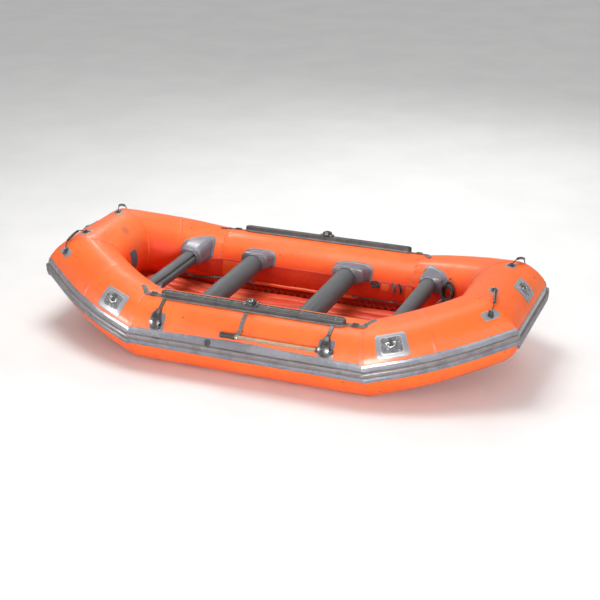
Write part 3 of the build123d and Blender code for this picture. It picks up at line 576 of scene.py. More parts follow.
def rubber(name, base, light, dark, *, rough=(0.42, 0.62), grain=0.00012, edge=0.5, dust=0.3,
           dust_rgb=None, speck=0.0, coat=0.0):
    """Moulded rubber or plastic: fine grain, worn edges, dust on upward faces."""
    shader = Shader(name, base)
    clouds, ramp, maths = shader.clouds, shader.ramp, shader.math
    shader.paint(dark, clouds(scale=11, detail=5, rough=0.62, span=(0.4, 0.7), to=(0, 0.7)))
    shader.paint(light, clouds(scale=46, detail=4, rough=0.66, span=(0.52, 0.72), to=(0, 0.45)))
    shader.paint(light, ramp(shader.geometry["Pointiness"], span=(0.52, 0.60), to=(0, edge)))
    facing_up = shader.split(shader.geometry["Normal"])[2]
    dusty = maths("MULTIPLY", ramp(facing_up, span=(0.3, 1.0)),
                  clouds(scale=19, detail=4, rough=0.6, span=(0.35, 0.7), to=(0, dust)))
    shader.paint(dust_rgb or light, dusty)
    if speck:
        shader.paint((232, 226, 218),
                     ramp(shader.voronoi(scale=85), span=(0.16, 0.22), to=(speck, 0)))
    roughness = clouds(scale=24, detail=4, rough=0.6, span=(0.3, 0.7), to=rough)
    roughness = maths("ADD", roughness, maths("MULTIPLY", dusty, 0.3))
    normal = shader.bump(shader.noise(scale=900, detail=2, rough=0.5),
                         distance=grain, strength=0.8)
    normal = shader.bump(shader.noise(scale=60, detail=4, rough=0.6),
                         distance=0.0004, strength=0.45, below=normal)
    return shader.finish(roughness, normal, Specular_IOR_Level=0.4, Coat_Weight=coat,
                         Coat_Roughness=0.3)


def woven(name, base, light, dark, pitch=0.0016):
    """Woven webbing or cord: crossed ribs at a pitch, uneven fading, fuzzy sheen."""
    shader = Shader(name, dark)
    clouds, maths = shader.clouds, shader.math
    rib_x, rib_y, rib_z = (shader.wave(pitch, axis) for axis in "XYZ")
    twill = maths("MULTIPLY", maths("ADD", rib_x, rib_y), maths("ADD", rib_y, rib_z))
    shader.paint(base, shader.ramp(twill, span=(0.2, 1.6)))
    shader.paint(light, clouds(scale=30, detail=5, rough=0.65, span=(0.5, 0.75), to=(0, 0.6)))
    shader.paint(dark, clouds(scale=6, span=(0.5, 0.75), to=(0, 0.5)))
    normal = shader.bump(twill, distance=0.0003, strength=0.9)
    normal = shader.bump(shader.noise(scale=120), distance=0.0005, strength=0.4, below=normal)
    return shader.finish(clouds(scale=40, span=(0.3, 0.7), to=(0.62, 0.85)), normal,
                         Sheen_Weight=0.25, Sheen_Roughness=0.5)


def metal(name, base, dark, rough=(0.18, 0.42)):
    shader = Shader(name, base)
    clouds = shader.clouds
    shader.paint(dark, clouds(scale=60, detail=5, rough=0.7, span=(0.5, 0.75), to=(0, 0.7)))
    shader.paint((150, 132, 112), clouds(scale=140, detail=3, rough=0.7, span=(0.62, 0.75),
                                         to=(0, 0.35)))
    roughness = clouds(scale=90, detail=4, rough=0.65, span=(0.3, 0.75), to=rough)
    normal = shader.bump(shader.noise(scale=700, detail=2), distance=0.00005, strength=0.7)
    normal = shader.bump(shader.noise(scale=45), distance=0.0003, strength=0.3, below=normal)
    return shader.finish(roughness, normal, Metallic=1.0)


# smudge marks and painted shade on the tubes: x, y, z, radius, strength
HULL_SMUDGES_AND_SHADE = [
    # a brown smudge high on the stern tube, then painted shade on the stern tube's inner curve, which
    # the next row continues
    (-1.526, 0.023, 0.717, 0.075, 0.6), (-1.42, 0.42, 0.60, 0.20, 0.20),
    (-1.50, 0.06, 0.58, 0.24, 0.30), (-1.36, -0.36, 0.52, 0.14, 0.28),
    (-1.80, 0.30, 0.74, 0.20, 0.16), (-1.96, 0.15, 0.55, 0.30, 0.16),
    # painted shade on the bow tube's inner curve
    (1.52, 0.32, 0.64, 0.20, 0.34), (1.50, 0.0, 0.60, 0.22, 0.34),
    # the remaining rows are smudge marks
    (1.72, 0.42, 0.74, 0.16, 0.22), (-1.20, 0.62, 0.62, 0.14, 0.16),
    (1.44, -0.62, 0.66, 0.05, 0.25), (0.35, -0.95, 0.40, 0.06, 0.22),
]
# fabrics and rubbers: name, base, light and dark sRGB colours
# the hull's inside colour is painted shade low on its inner walls
HULL = coated("tube_orange", (235, 98, 36), (247, 118, 50), (212, 78, 26),
              rough=(0.44, 0.58), specular=0.20, coat=0.15, top=0.12,
              inside_shade_rgb=(243, 62, 22), specks=1.0, smudges_and_shade=HULL_SMUDGES_AND_SHADE)
HULL_TAPE = coated("tube_seam_tape", (226, 88, 32), (242, 112, 50), (188, 62, 24),
                   rough=(0.42, 0.58), specular=0.36, wrinkle=0.0006, stain=0.35, coat=0.1)
FLOOR = coated("floor_red", (222, 64, 34), (238, 98, 56), (172, 40, 20), rough=(0.38, 0.56),
               streaks=((244, 116, 66), (132, 22, 12)), specks=0.7, speck_rgb=(70, 26, 20),
               top=0.2, low=0.2, stain=0.4, stain_rgb=(112, 52, 40), wrinkle=0.0022)
THWART = coated("thwart_grey", (79, 82, 85), (98, 101, 103), (58, 60, 63),
                rough=(0.50, 0.64), specular=0.35, speck_rgb=(38, 38, 40), low=0,
                stain=0.35, stain_rgb=(128, 118, 108), wrinkle=0.002)
COLLAR = coated("collar_grey", (98, 98, 107), (124, 124, 134), (70, 69, 77),
                rough=(0.32, 0.50), coat=0.15, specks=0.4, speck_rgb=(50, 48, 52), low=0,
                stain=0.3, stain_rgb=(120, 104, 96), wrinkle=0.0008)
PATCH = coated("patch_grey", (122, 122, 128), (168, 167, 172), (84, 84, 90),
               rough=(0.26, 0.46), coat=0.25, specks=0.6, speck_rgb=(60, 58, 58), low=0,
               stain=0.5, stain_rgb=(112, 104, 98), wrinkle=0.0008)
BAND = coated("band_grey", (112, 112, 120), (150, 149, 157), (78, 77, 84),
              rough=(0.18, 0.34), specks=0.6, speck_rgb=(66, 60, 60), low=0.25,
              stain=0.4, stain_rgb=(112, 92, 84), wrinkle=0.0007, coat=0.4)
STRAKE = rubber("strake_blue_grey", (116, 118, 127), (150, 152, 160), (82, 82, 90),
                rough=(0.32, 0.52), edge=0.6, dust=0.35, dust_rgb=(160, 150, 142))
STRAKE_UPPER = rubber("strake_brown_grey", (116, 108, 109), (146, 139, 140), (84, 76, 76),
                      rough=(0.34, 0.54), edge=0.6, dust=0.35, dust_rgb=(150, 128, 114))
RAIL = rubber("rail_dark", (60, 58, 59), (92, 89, 90), (37, 35, 36), rough=(0.36, 0.56),
              dust=0.35, dust_rgb=(120, 116, 112))
RAIL_FOOT = rubber("rail_foot_grey", (112, 110, 110), (140, 138, 138), (82, 80, 80),
                   rough=(0.4, 0.6), edge=0.3)
BLACK = rubber("black_rubber", (30, 29, 30), (72, 68, 66), (16, 16, 17), rough=(0.26, 0.46),
               edge=0.7, dust_rgb=(96, 84, 76), speck=0.25, coat=0.3)
PLASTIC = rubber("black_plastic", (34, 34, 36), (78, 78, 80), (20, 20, 22),
                 rough=(0.22, 0.42), edge=0.6, dust=0.25, dust_rgb=(90, 86, 82))
OAR = rubber("oar_tube_paint", (150, 120, 92), (188, 162, 136), (100, 74, 56),
             rough=(0.24, 0.44), edge=0.25, dust=0.12, dust_rgb=(196, 172, 146), coat=0.4)
RING_PAD = rubber("d_ring_pad_rubber", (84, 84, 89), (204, 203, 208), (36, 36, 39),
                  rough=(0.12, 0.32), edge=0.6, dust=0.55, dust_rgb=(196, 194, 198),
                  speck=0.25, coat=0.6)
SKIRT = coated("skirt_red", (206, 48, 22), (232, 74, 32), (148, 26, 14), rough=(0.36, 0.56),
               speck_rgb=(60, 20, 16), top=0.1, low=0.1, stain=0.4, stain_rgb=(96, 44, 38))
GRIP = rubber("oar_grip_rubber", (28, 27, 28), (64, 62, 60), (14, 14, 15),
              rough=(0.45, 0.65), grain=0.0003)
WEB = woven("webbing_dark", (52, 51, 53), (88, 86, 88), (26, 26, 28))
WEB_GREY = woven("webbing_grey", (104, 102, 104), (146, 144, 146), (66, 64, 66))
THREAD = woven("stitch_thread", (176, 172, 166), (206, 202, 196), (120, 116, 110), pitch=0.0008)
STEEL = metal("ring_steel", (196, 194, 190), (120, 116, 110))
ROPE = woven("rope_dark", (44, 42, 44), (88, 82, 78), (20, 19, 20), pitch=0.003)
CORD = woven("lacing_cord", (196, 56, 34), (224, 84, 56), (150, 36, 20), pitch=0.002)
GRAB_LINE = woven("grab_line_grey", (118, 108, 110), (214, 204, 202), (46, 38, 40), pitch=0.004)
ROPE_PALE = woven("rope_pale", (168, 160, 148), (200, 194, 182), (112, 104, 94), pitch=0.003)
BRASS = metal("grommet_metal", (176, 96, 70), (140, 60, 42), rough=(0.4, 0.6))
WELT = coated("floor_welt_orange", (240, 92, 46), (252, 134, 84), (204, 62, 30),
              wrinkle=0.0006, stain=0.35, coat=0.2)
FLOOR_SEAM = coated("floor_seam_dark", (164, 40, 26), (196, 64, 42), (112, 24, 16),
                    rough=(0.45, 0.65), wrinkle=0.0006)


# ---------------------------------------------------------------- buoyancy tube surface
def crowded(start, stop):
    """Stations from start to stop, crowded towards both ends."""
    span = abs(stop - start)
    near_end = [0.003, 0.007, 0.012, 0.018, 0.026, 0.036, 0.048, 0.062]
    places = list(np.linspace(0, 1, int(span / 0.022) + 1) * span)
    places += near_end + [span - place for place in near_end]
    places = sorted(set(round(place, 4) for place in places))
    kept = [places[0]]
    for place in places[1:]:
        if place - kept[-1] > 0.0028:
            kept.append(place)
    kept[-1] = span
    return start + np.array(kept) * (1 if stop > start else -1)


def folds(distance, phi, seed):
    """0..1 pattern of folds round the tube beside a welded seam."""
    angle = np.radians(phi)
    broad = 0.5 + 0.5 * np.sin(17 * angle + 2.1 * np.sin(3 * angle + seed) + seed)
    fine = 0.5 + 0.5 * np.sin(29 * angle + 1.3 * np.sin(5 * angle + 2 * seed) - seed)
    return (0.7 * broad ** 2 + 0.3 * fine ** 2) * np.exp(-distance)


def dents(panel, along, phi, seed):
    """Height of the fabric from the nominal radius: soft waves, and folds at the mitres."""
    along = np.asarray(along, float)[:, None]
    phi = np.atleast_2d(phi)
    angle = np.radians(phi)
    height = (-0.0004
              - 0.0009 * (0.5 + 0.5 * np.sin(2 * PI * along / 0.41 + 2 * angle + seed))
              - 0.0007 * (0.5 + 0.5 * np.sin(2 * PI * along / 0.23 - 3 * angle + 2 * seed)))
    share = 0.35 + 0.65 * smoothstep((phi - 20) / 60)
    for station, _, _, depth, reach in MITRES[panel]:
        distance = np.abs(along - station)
        height = height - depth * folds(distance / reach, phi, seed + station) * share
        height = height - 0.0022 * np.exp(-((distance / 0.009) ** 2))
    return height


PHI = np.linspace(0, 360, 168, endpoint=False)
SIDE_STATIONS = crowded(-SHOULDER_X, SHOULDER_X)
BEVEL_STATIONS = crowded(0, BEVEL_LEN)
END_STATIONS = crowded(END_Y, -END_Y)

CHAIN = np.r_[np.linspace(0, BEVEL_LEN, 90)[:-1],
              np.linspace(BEVEL_LEN, BEVEL_LEN + 2 * END_Y, 71),
              np.linspace(BEVEL_LEN + 2 * END_Y, CHAIN_LEN, 90)[1:]]
# panel, its stations, side, seed offset
CHAIN_PARTS = [("bevel", CHAIN[:90], 1, 0.0),
               ("end", END_Y - (CHAIN[90:159] - BEVEL_LEN), 1, 0.0),
               ("bevel", CHAIN_LEN - CHAIN[159:], -1, 1.7)]


def relaxed_chain():
    """Mitred rings smoothed along the chain, so that the inner corners turn softly."""
    points = np.concatenate([grid(panel, along, PHI, 0.0) * [1, side, 1]
                             for panel, along, side, _ in CHAIN_PARTS])
    from_outboard = np.minimum(PHI, 360 - PHI)
    ease = (smoothstep((from_outboard - 17) / 30) * 0.22
            + smoothstep((from_outboard - 95) / 45) * 0.56)
    for _ in range(64):
        points[1:-1] += ease[None, :, None] * 0.5 * (points[:-2] + points[2:] - 2 * points[1:-1])
    normals = units(np.cross(np.gradient(points, axis=0),
                             (np.roll(points, -1, 1) - np.roll(points, 1, 1)) / 2))
    if ((points - points.mean(1)[:, None]) * normals).sum(2).mean() < 0:
        normals = -normals
    return points, normals


CHAIN_POINTS, CHAIN_NORMALS = relaxed_chain()


def chain_surface(along, phi, height=0.0):
    """Point and normal interpolated on the relaxed chain."""
    along, phi = np.broadcast_arrays(np.asarray(along, float), np.asarray(phi, float))
    i = np.clip(np.searchsorted(CHAIN, along) - 1, 0, len(CHAIN) - 2)
    across_i = np.clip((along - CHAIN[i]) / (CHAIN[i + 1] - CHAIN[i]), 0, 1)[..., None]
    turn = (phi % 360) / 360 * len(PHI)
    j = np.floor(turn).astype(int) % len(PHI)
    across_j = (turn - np.floor(turn))[..., None]
    k = (j + 1) % len(PHI)

    def blend(values):
        near = values[i, j] * (1 - across_j) + values[i, k] * across_j
        far = values[i + 1, j] * (1 - across_j) + values[i + 1, k] * across_j
        return near * (1 - across_i) + far * across_i

    normal = units(blend(CHAIN_NORMALS))
    return blend(CHAIN_POINTS) + normal * np.asarray(height)[..., None], normal


def end_caps(rings):
    """Rings with narrowing ones added at both ends, set well back inside the tube."""
    def cap(ring, inner):
        centre = ring.mean(0)
        inward = unit(inner.mean(0) - centre)
        return [centre + (ring - centre) * scale + inward * depth
                for scale, depth in ((0.55, 0.05), (0.94, 0.02))]
    return np.concatenate([cap(rings[0], rings[3]), rings, cap(rings[-1], rings[-4])[::-1]])


def hull_tubes():
    for side, name in SIDES:
        rings = grid("side", SIDE_STATIONS, PHI, dents("side", SIDE_STATIONS, PHI, 1.0 + side))
        mesh = Mesh()
        mesh.loft(end_caps(rings * [1, side, 1]))
        mesh.build("hull_tube_" + name, [HULL], 60, "tube_fabric", ["side_tube_" + name])
    for end, name in ENDS:
        height = np.concatenate([dents(panel, along, PHI, 4.0 + end + offset)
                                 for panel, along, _, offset in CHAIN_PARTS])
        rings = CHAIN_POINTS + CHAIN_NORMALS * height[..., None]
        mesh = Mesh()
        mesh.loft(end_caps(rings * [end, 1, 1]))
        replaced = [name + "_tube"] + (["chamber_baffles"] if end > 0 else [])
        mesh.build("hull_tube_" + name, [HULL], 60, "tube_fabric", replaced)


def hoop_tape(mesh, rows, thick, mirror):
    """Tape right round the tube; rows are (panel, station) across its width."""
    top, bottom = [], []
    for i, (panel, along) in enumerate(rows):
        height = dents(panel, [along], PHI, 5.0)
        share = 0.25 if i in (0, len(rows) - 1) else 1.0
        top.append(grid(panel, [along], PHI, height + thick * share)[0])
        bottom.append(grid(panel, [along], PHI, height - 0.0022)[0])
    mesh.shell(np.swapaxes(top, 0, 1), np.swapaxes(bottom, 0, 1), mirror=mirror, closed=True)


def seam_tapes():
    offsets = (0.021, 0.019, 0.012, 0.006)
    shoulder = [("side", SHOULDER_X - offset) for offset in offsets]
    shoulder += [("bevel", offset) for offset in (0.0, *offsets[::-1])]
    panel_seam = [("bevel", 0.47 + offset) for offset in (-0.013, -0.0115, 0.0, 0.0115, 0.013)]
    corner = BEVEL_LEN + np.array([-0.017, -0.0155, -0.009, -0.003, 0.003, 0.009, 0.0155, 0.017])
    corner_height = np.array([-0.7, 0.2, 0.3, 0.3, 0.3, 0.3, 0.2, -0.7]) * 1e-3
    for end, name in ENDS:
        mesh = Mesh()
        for side in (1, -1):
            hoop_tape(mesh, shoulder, 0.0011, (end, side))
            mesh.shell(point("chain", corner, PHI[:, None], corner_height),
                       point("chain", corner, PHI[:, None], -0.006),
                       mirror=(end, side), closed=True)
            hoop_tape(mesh, panel_seam, 0.0008, (end, side))
        mesh.build("seam_tapes_" + name, [HULL_TAPE], 35, "tube_fabric")


# ---------------------------------------------------------------- rub strake and chafe band
STRAKE_LOW, STRAKE_SPAN = -13.8, 17.0    # lower edge and width, degrees
STRAKE_HEIGHT = 0.0198


def around_end(section):
    """Run section(panel, stations) round bevel, cross tube and starboard bevel."""
    bevel = section("bevel", BEVEL_STATIONS)
    cross = section("end", END_STATIONS)[1:-1]
    return np.concatenate([bevel, cross, (bevel * FLIP_Y)[::-1]])


def strake_profile(part):
    """Height, as a share, across the strake's two ribs; part runs 0..1 over its width."""
    rib_part = np.where(part >= 1.0, 1.0, (part % 0.5) / 0.5)
    rib = np.maximum(0, 1 - np.abs(2 * rib_part - 1) ** 3.0) ** 0.55
    foot = np.where(np.abs(part - 0.5) < 0.02, 0.42, 0.22)
    height = foot + (1 - foot) * rib
    height = height - 0.035 * (0.5 + 0.5 * np.cos(2 * PI * rib_part * 4)) * (rib > 0.8)
    return np.where((part <= 0.0) | (part >= 1.0), 0.0, height)


def rub_strakes():
    part = np.r_[0, 0.004, np.linspace(0.018, 0.482, 27), 0.5,
                 np.linspace(0.518, 0.982, 27), 0.996, 1.0]
    back = np.linspace(STRAKE_LOW + STRAKE_SPAN, STRAKE_LOW, 9)[1:-1]
    phi = np.r_[STRAKE_LOW + STRAKE_SPAN * part, back]
    height = np.r_[STRAKE_HEIGHT * strake_profile(part), np.full(len(back), -0.002)]
    slots = [int(len(part) // 2 <= j < len(part)) for j in range(len(phi))]

    def section(panel, along):
        return grid(panel, along, phi, height)

    sides = [(section("side", SIDE_STATIONS) * [1, side, 1], name) for side, name in SIDES]
    ends = [(around_end(section) * [end, 1, 1], name) for end, name in ENDS]
    for rings, name in sides + ends:
        mesh = Mesh()
        mesh.loft(rings, slots)
        mesh.build("strake_" + name, [STRAKE, STRAKE_UPPER], 50, "strake_rubber",
                   ["rub_strake_" + name])


def chafe_band():
    """Band above the strake with a step to a thin upper margin; wider at mid-length."""
    low = 3.3
    part = np.array([0, 0.01, 0.03, 0.07, 0.2, 0.4, 0.6, 0.78, 0.80, 0.83, 0.90, 0.97, 0.985, 1.0])
    thick = np.array([0.3, 1.6, 2.4, 2.6, 2.6, 2.6, 2.6, 2.6, 2.2, 1.5, 1.4, 1.4, 1.0, 0.2]) * 1e-3

    def sheet(height):
        def section(panel, along):
            swell = 3.2 * np.exp(-(((along + 0.03) / 0.52) ** 2)) if panel == "side" else 0 * along
            return grid(panel, along, low + (14.4 + swell - low)[:, None] * part, height)
        return section

    upper, under = sheet(0.0006 + thick), sheet(-0.004)
    mesh = Mesh()
    for side in (1, -1):
        mesh.shell(upper("side", SIDE_STATIONS), under("side", SIDE_STATIONS), mirror=(1, side))
    for end in (1, -1):
        mesh.shell(around_end(upper), around_end(under), mirror=(end, 1))
    mesh.build("chafe_band_all_round", [BAND], 40, "band_fabric", ["chafe_band"])


# ---------------------------------------------------------------- gunwale rails
RAIL_PHI = 77.0
RAIL_BASE, RAIL_OUT = surface("side", 0.0, RAIL_PHI, 0.0)
RAIL_ACROSS = np.cross(X_DIR, RAIL_OUT)
RAIL_HALF, RAIL_END = 0.756, 0.042    # half length, length of the rounded end
RAIL_FOOT_POINTS = 4
# half of the rail section, in mm: distance across, height above the tube
RAIL_SECTION = [
    (42.4, 0.5), (43.0, 4), (42.6, 9), (41.4, 13.0), (39.4, 14.2), (39.2, 17), (38.4, 20.2),
    (36.6, 21.0), (36.4, 23.0), (37.0, 24.6), (35.6, 29.0), (33.8, 29.8), (33.6, 31.8),
    (34.0, 33.2), (31.8, 38.6), (29.2, 42.8), (26.0, 46.0), (22.6, 48.2), (19.0, 49.0),
    (17.4, 48.2), (16.4, 45.0), (14.0, 44.2), (9.8, 44.2), (8.0, 45.0), (6.6, 48.4), (5.0, 49.0),
]


def rail_points(x, across, height):
    return (RAIL_BASE + X_DIR * x + RAIL_ACROSS * np.asarray(across)[..., None]
            + RAIL_OUT * np.asarray(height)[..., None])


def rails():
    half = np.array(RAIL_SECTION) / 1000
    across, height = np.r_[half, (half * [-1, 1])[::-1]].T
    under = np.linspace(-half[0, 0], half[0, 0], 9)[1:-1]
    count, foot = len(across), RAIL_FOOT_POINTS - 1
    slots = [int(j < foot or count - 1 - foot <= j < count - 1)
             for j in range(count + len(under))]
    quarter = np.linspace(0, PI / 2, 10)
    stations = np.r_[-RAIL_HALF + RAIL_END * (1 - np.cos(quarter)), np.linspace(-0.68, 0.68, 35),
                     RAIL_HALF - RAIL_END * (1 - np.cos(quarter[::-1]))]
    rings = []
    for x in stations:
        past = max(0.0, abs(x) - (RAIL_HALF - RAIL_END)) / RAIL_END
        narrow = math.sqrt(max(0.0, 1 - past * past)) * 0.93 + 0.07
        lower = np.where(height > 0.016, 1 - 0.16 * past ** 3, 1)
        under_height = np.sqrt(0.2808 ** 2 - (under * narrow) ** 2) - TUBE_R - 0.001
        rings.append(rail_points(x, np.r_[across, under] * narrow,
                                 np.r_[height * lower, under_height]))
    angle = np.linspace(0, 2 * PI, 12, endpoint=False)[:, None]
    circle = X_DIR * np.cos(angle) + RAIL_ACROSS * np.sin(angle)
    for side, name in SIDES:
        mesh = Mesh()
        mesh.loft(rings, slots, (1, side))
        # dished screw heads along the top channels, none at mid-length
        for x in np.arange(-0.68, 0.70, 0.136):
            if abs(x) < 0.09:
                continue
            for offset in (-0.012, 0.012):
                centre = rail_points(x, offset, 0.0436)
                mesh.loft([centre + circle * radius + RAIL_OUT * rise for radius, rise in
                           ((0.0042, 0.0), (0.0042, 0.0009), (0.0032, 0.0019), (0.0016, 0.0023))],
                          2, (1, side))
        mesh.build("rail_" + name, [RAIL, RAIL_FOOT, STEEL], 38, "rail_rubber",
                   ["gunwale_rail_" + name])


# ---------------------------------------------------------------- inner wall of the tube
SIDE_AXIS = frames("side", np.linspace(-SHOULDER_X, SHOULDER_X, 60))[0]
BOW_AXIS = np.concatenate([frames("bevel", np.linspace(0.01, BEVEL_LEN, 60))[0],
                           frames("end", np.linspace(END_Y - 0.02, 0, 12))[0]])
AXIS = np.concatenate([SIDE_AXIS, BOW_AXIS, BOW_AXIS * FLIP_X])
BEVEL_AXIS, BEVEL_TANGENT = frames("bevel", np.linspace(0, BEVEL_LEN, 900))[:2]


def axis_distance(points):
    """Distance from points with y >= 0 to the tube's axis polyline."""
    distances = np.linalg.norm(points[:, None] - AXIS[None], axis=2)
    i = distances.argmin(1)
    best = distances[np.arange(len(points)), i]
    # the nearest place may lie on the segment to either neighbour of the nearest vertex
    for step in (-1, 1):
        start = AXIS[i]
        span = AXIS[np.clip(i + step, 0, len(AXIS) - 1)] - start
        square = (span ** 2).sum(1)
        joined = (square > 1e-12) & (square < 0.01)
        t = np.clip(((points - start) * span).sum(1) / np.maximum(square, 1e-12), 0, 1)
        near = np.linalg.norm(points - (start + span * t[:, None]), axis=1)
        best = np.where(joined, np.minimum(best, near), best)
    return best


def axis_at(x):
    """y and z of the tube axis at x, and the cosine of its heading in plan."""
    x = abs(x)
    if x <= SHOULDER_X:
        return SIDE_Y, SIDE_Z, 1.0
    i = min(int(np.searchsorted(BEVEL_AXIS[:, 0], x)), len(BEVEL_AXIS) - 1)
    tangent = BEVEL_TANGENT[i]
    return BEVEL_AXIS[i, 1], BEVEL_AXIS[i, 2], tangent[0] / math.hypot(tangent[0], tangent[1])


def inner_wall(x, z, offset=0.0):
    """y of the port tube's inboard wall at each (x, z), and z kept below the tube's crest."""
    x, z = np.broadcast_arrays(np.asarray(x, float), np.asarray(z, float))
    shape = x.shape
    x, z = x.ravel(), z.ravel()
    axis_y, axis_z = np.array([axis_at(value)[:2] for value in x]).T
    z = np.minimum(z, axis_z + TUBE_R + offset - 0.004)
    low, high = np.zeros(len(x)), axis_y.copy()
    for _ in range(24):
        middle = (low + high) / 2
        inside = axis_distance(np.c_[x, middle, z]) < TUBE_R + offset
        high = np.where(inside, middle, high)
        low = np.where(inside, low, middle)
    return ((low + high) / 2).reshape(shape), z.reshape(shape)


# ---------------------------------------------------------------- inflatable floor
BEAMS = 8
FLOOR_Z, FLOOR_THICK = 0.056, 0.106
FLOOR_HALF_WIDTH = 0.478
FLOOR_END, FLOOR_END_ROUND = 1.450, 0.130


def floor_station(x):
    """Half width, underside height and thickness of the floor at x."""
    axis_y, axis_z, cosine = axis_at(x)
    half_width = axis_y - (SIDE_Y - FLOOR_HALF_WIDTH) / cosine
    past = max(0.0, (abs(x) - (FLOOR_END - FLOOR_END_ROUND)) / FLOOR_END_ROUND)
    thick = FLOOR_THICK * math.sqrt(max(0.0, 1 - past * past)) * 0.9 + FLOOR_THICK * 0.1
    return half_width, FLOOR_Z + (axis_z - SIDE_Z) * 0.96, thick


def floor_top(x, y):
    """Height of the floor's top surface, with its beams."""
    half_width, under, thick = floor_station(x)
    place = (y + half_width) / (2 * half_width) * BEAMS
    part = place - math.floor(min(place, BEAMS - 0.0001))
    if place < 0.5 or place > BEAMS - 0.5:
        inset = min(place, BEAMS - place) / 0.5
        crown = math.sqrt(max(0.0, 1 - (1 - inset) ** 2))
        valley = 0.52
    else:
        crown = max(0.0, 1 - abs(2 * part - 1) ** 2.3) ** 0.62
        valley = 0.80
    return under + thick * (valley + (1 - valley) * crown)


def floor_beams():
    near_end = np.array([FLOOR_END, 1.448, 1.444, 1.436, 1.425])
    parts = (0, 0.03, 0.07, 0.13, 0.22, 0.34, 0.5, 0.66, 0.78, 0.87, 0.93, 0.97)
    top, bottom = [], []
    for x in np.r_[-near_end, np.arange(-1.41, 1.4101, 0.03), near_end[::-1]]:
        half, under, _ = floor_station(x)
        across = [-half + 2 * half * (beam + part) / BEAMS
                  for beam in range(BEAMS) for part in parts] + [half]
        row = []
        for y in across:
            beam = int(np.clip((y + half) / (2 * half) * BEAMS, 0, BEAMS - 0.001))
            ripple = (0.0016 * math.sin(x * 21 + beam * 1.7)
                      + 0.0011 * math.sin(x * 57 + beam * 2.9 + y * 30))
            crease = 0.003 * math.exp(-((math.sin(x * 3.4 + beam * 1.3) / 0.09) ** 2))
            row.append((x, y, floor_top(x, y) + ripple - crease))
        top.append(row)
        bottom.append([(x, y, under - 0.0013) for y in across])
    mesh = Mesh()
    mesh.shell(top, bottom)
    # seam tape in each valley
    offsets = (-0.008, -0.0055, 0.0, 0.0055, 0.008)
    heights = (0.0022, 0.0036, 0.0036, 0.0036, 0.0022)
    for beam in range(1, BEAMS):
        top, bottom = [], []
        for x in np.arange(-1.40, 1.401, 0.04):
            half = floor_station(x)[0]
            y = -half + 2 * half * beam / BEAMS
            z = floor_top(x, y)
            top.append([(x, y + offset, z + rise) for offset, rise in zip(offsets, heights)])
            bottom.append([(x, y + offset, z - 0.004) for offset in offsets])
        mesh.shell(top, bottom, 1)
    mesh.build("floor_beams", [FLOOR, FLOOR_SEAM], 42, "floor_fabric",
               ["floor_top_skin", "floor_bottom_skin", "floor_beam_webs"])


def corner_aprons():
    """Fabric that closes the corners between the raised tube and the floor."""
    mesh = Mesh()
    top = []
    for along in np.linspace(0.06, CHAIN_LEN - 0.06, 90):
        upper = point("chain", along, 226.0, -0.002)
        x = min(upper[0] - 0.004, 1.436)
        half, under, thick = floor_station(x)
        z = under + 0.42 * thick
        if upper[2] > under + 0.03:
            z = min(z, upper[2] - 0.002)
        lower = np.array([x, float(np.clip(upper[1], 0.014 - half, half - 0.014)), z])
        top.append([upper + (lower - upper) * part
                    + Z_DIR * (-0.012 * math.sin(PI * part) + 0.0016 * math.sin(31 * along + 9 * part))
                    for part in (0, 0.02, 0.12, 0.25, 0.4, 0.55, 0.7, 0.85, 0.98, 1.0)])
    top = np.array(top)
    for end in (1, -1):
        mesh.shell(top, top - Z_DIR * 0.0015, mirror=(end, 1))
    mesh.build("floor_corner_aprons", [SKIRT], 45, "tube_fabric")


# grab line round the stern quarter: station, phi on the chain; then on the side tube
GRAB_CHAIN = [(0.500, 200), (0.439, 202.4), (0.382, 203.4), (0.335, 203.4), (0.276, 203.2),
              (0.21, 202.6), (0.155, 200.6), (0.097, 198.0), (0.045, 195.0)]
GRAB_SIDE = [(-0.88, 192.6), (-0.82, 191.6), (-0.74, 190.8), (-0.66, 190.4), (-0.58, 190.8),
             (-0.52, 191.2)]


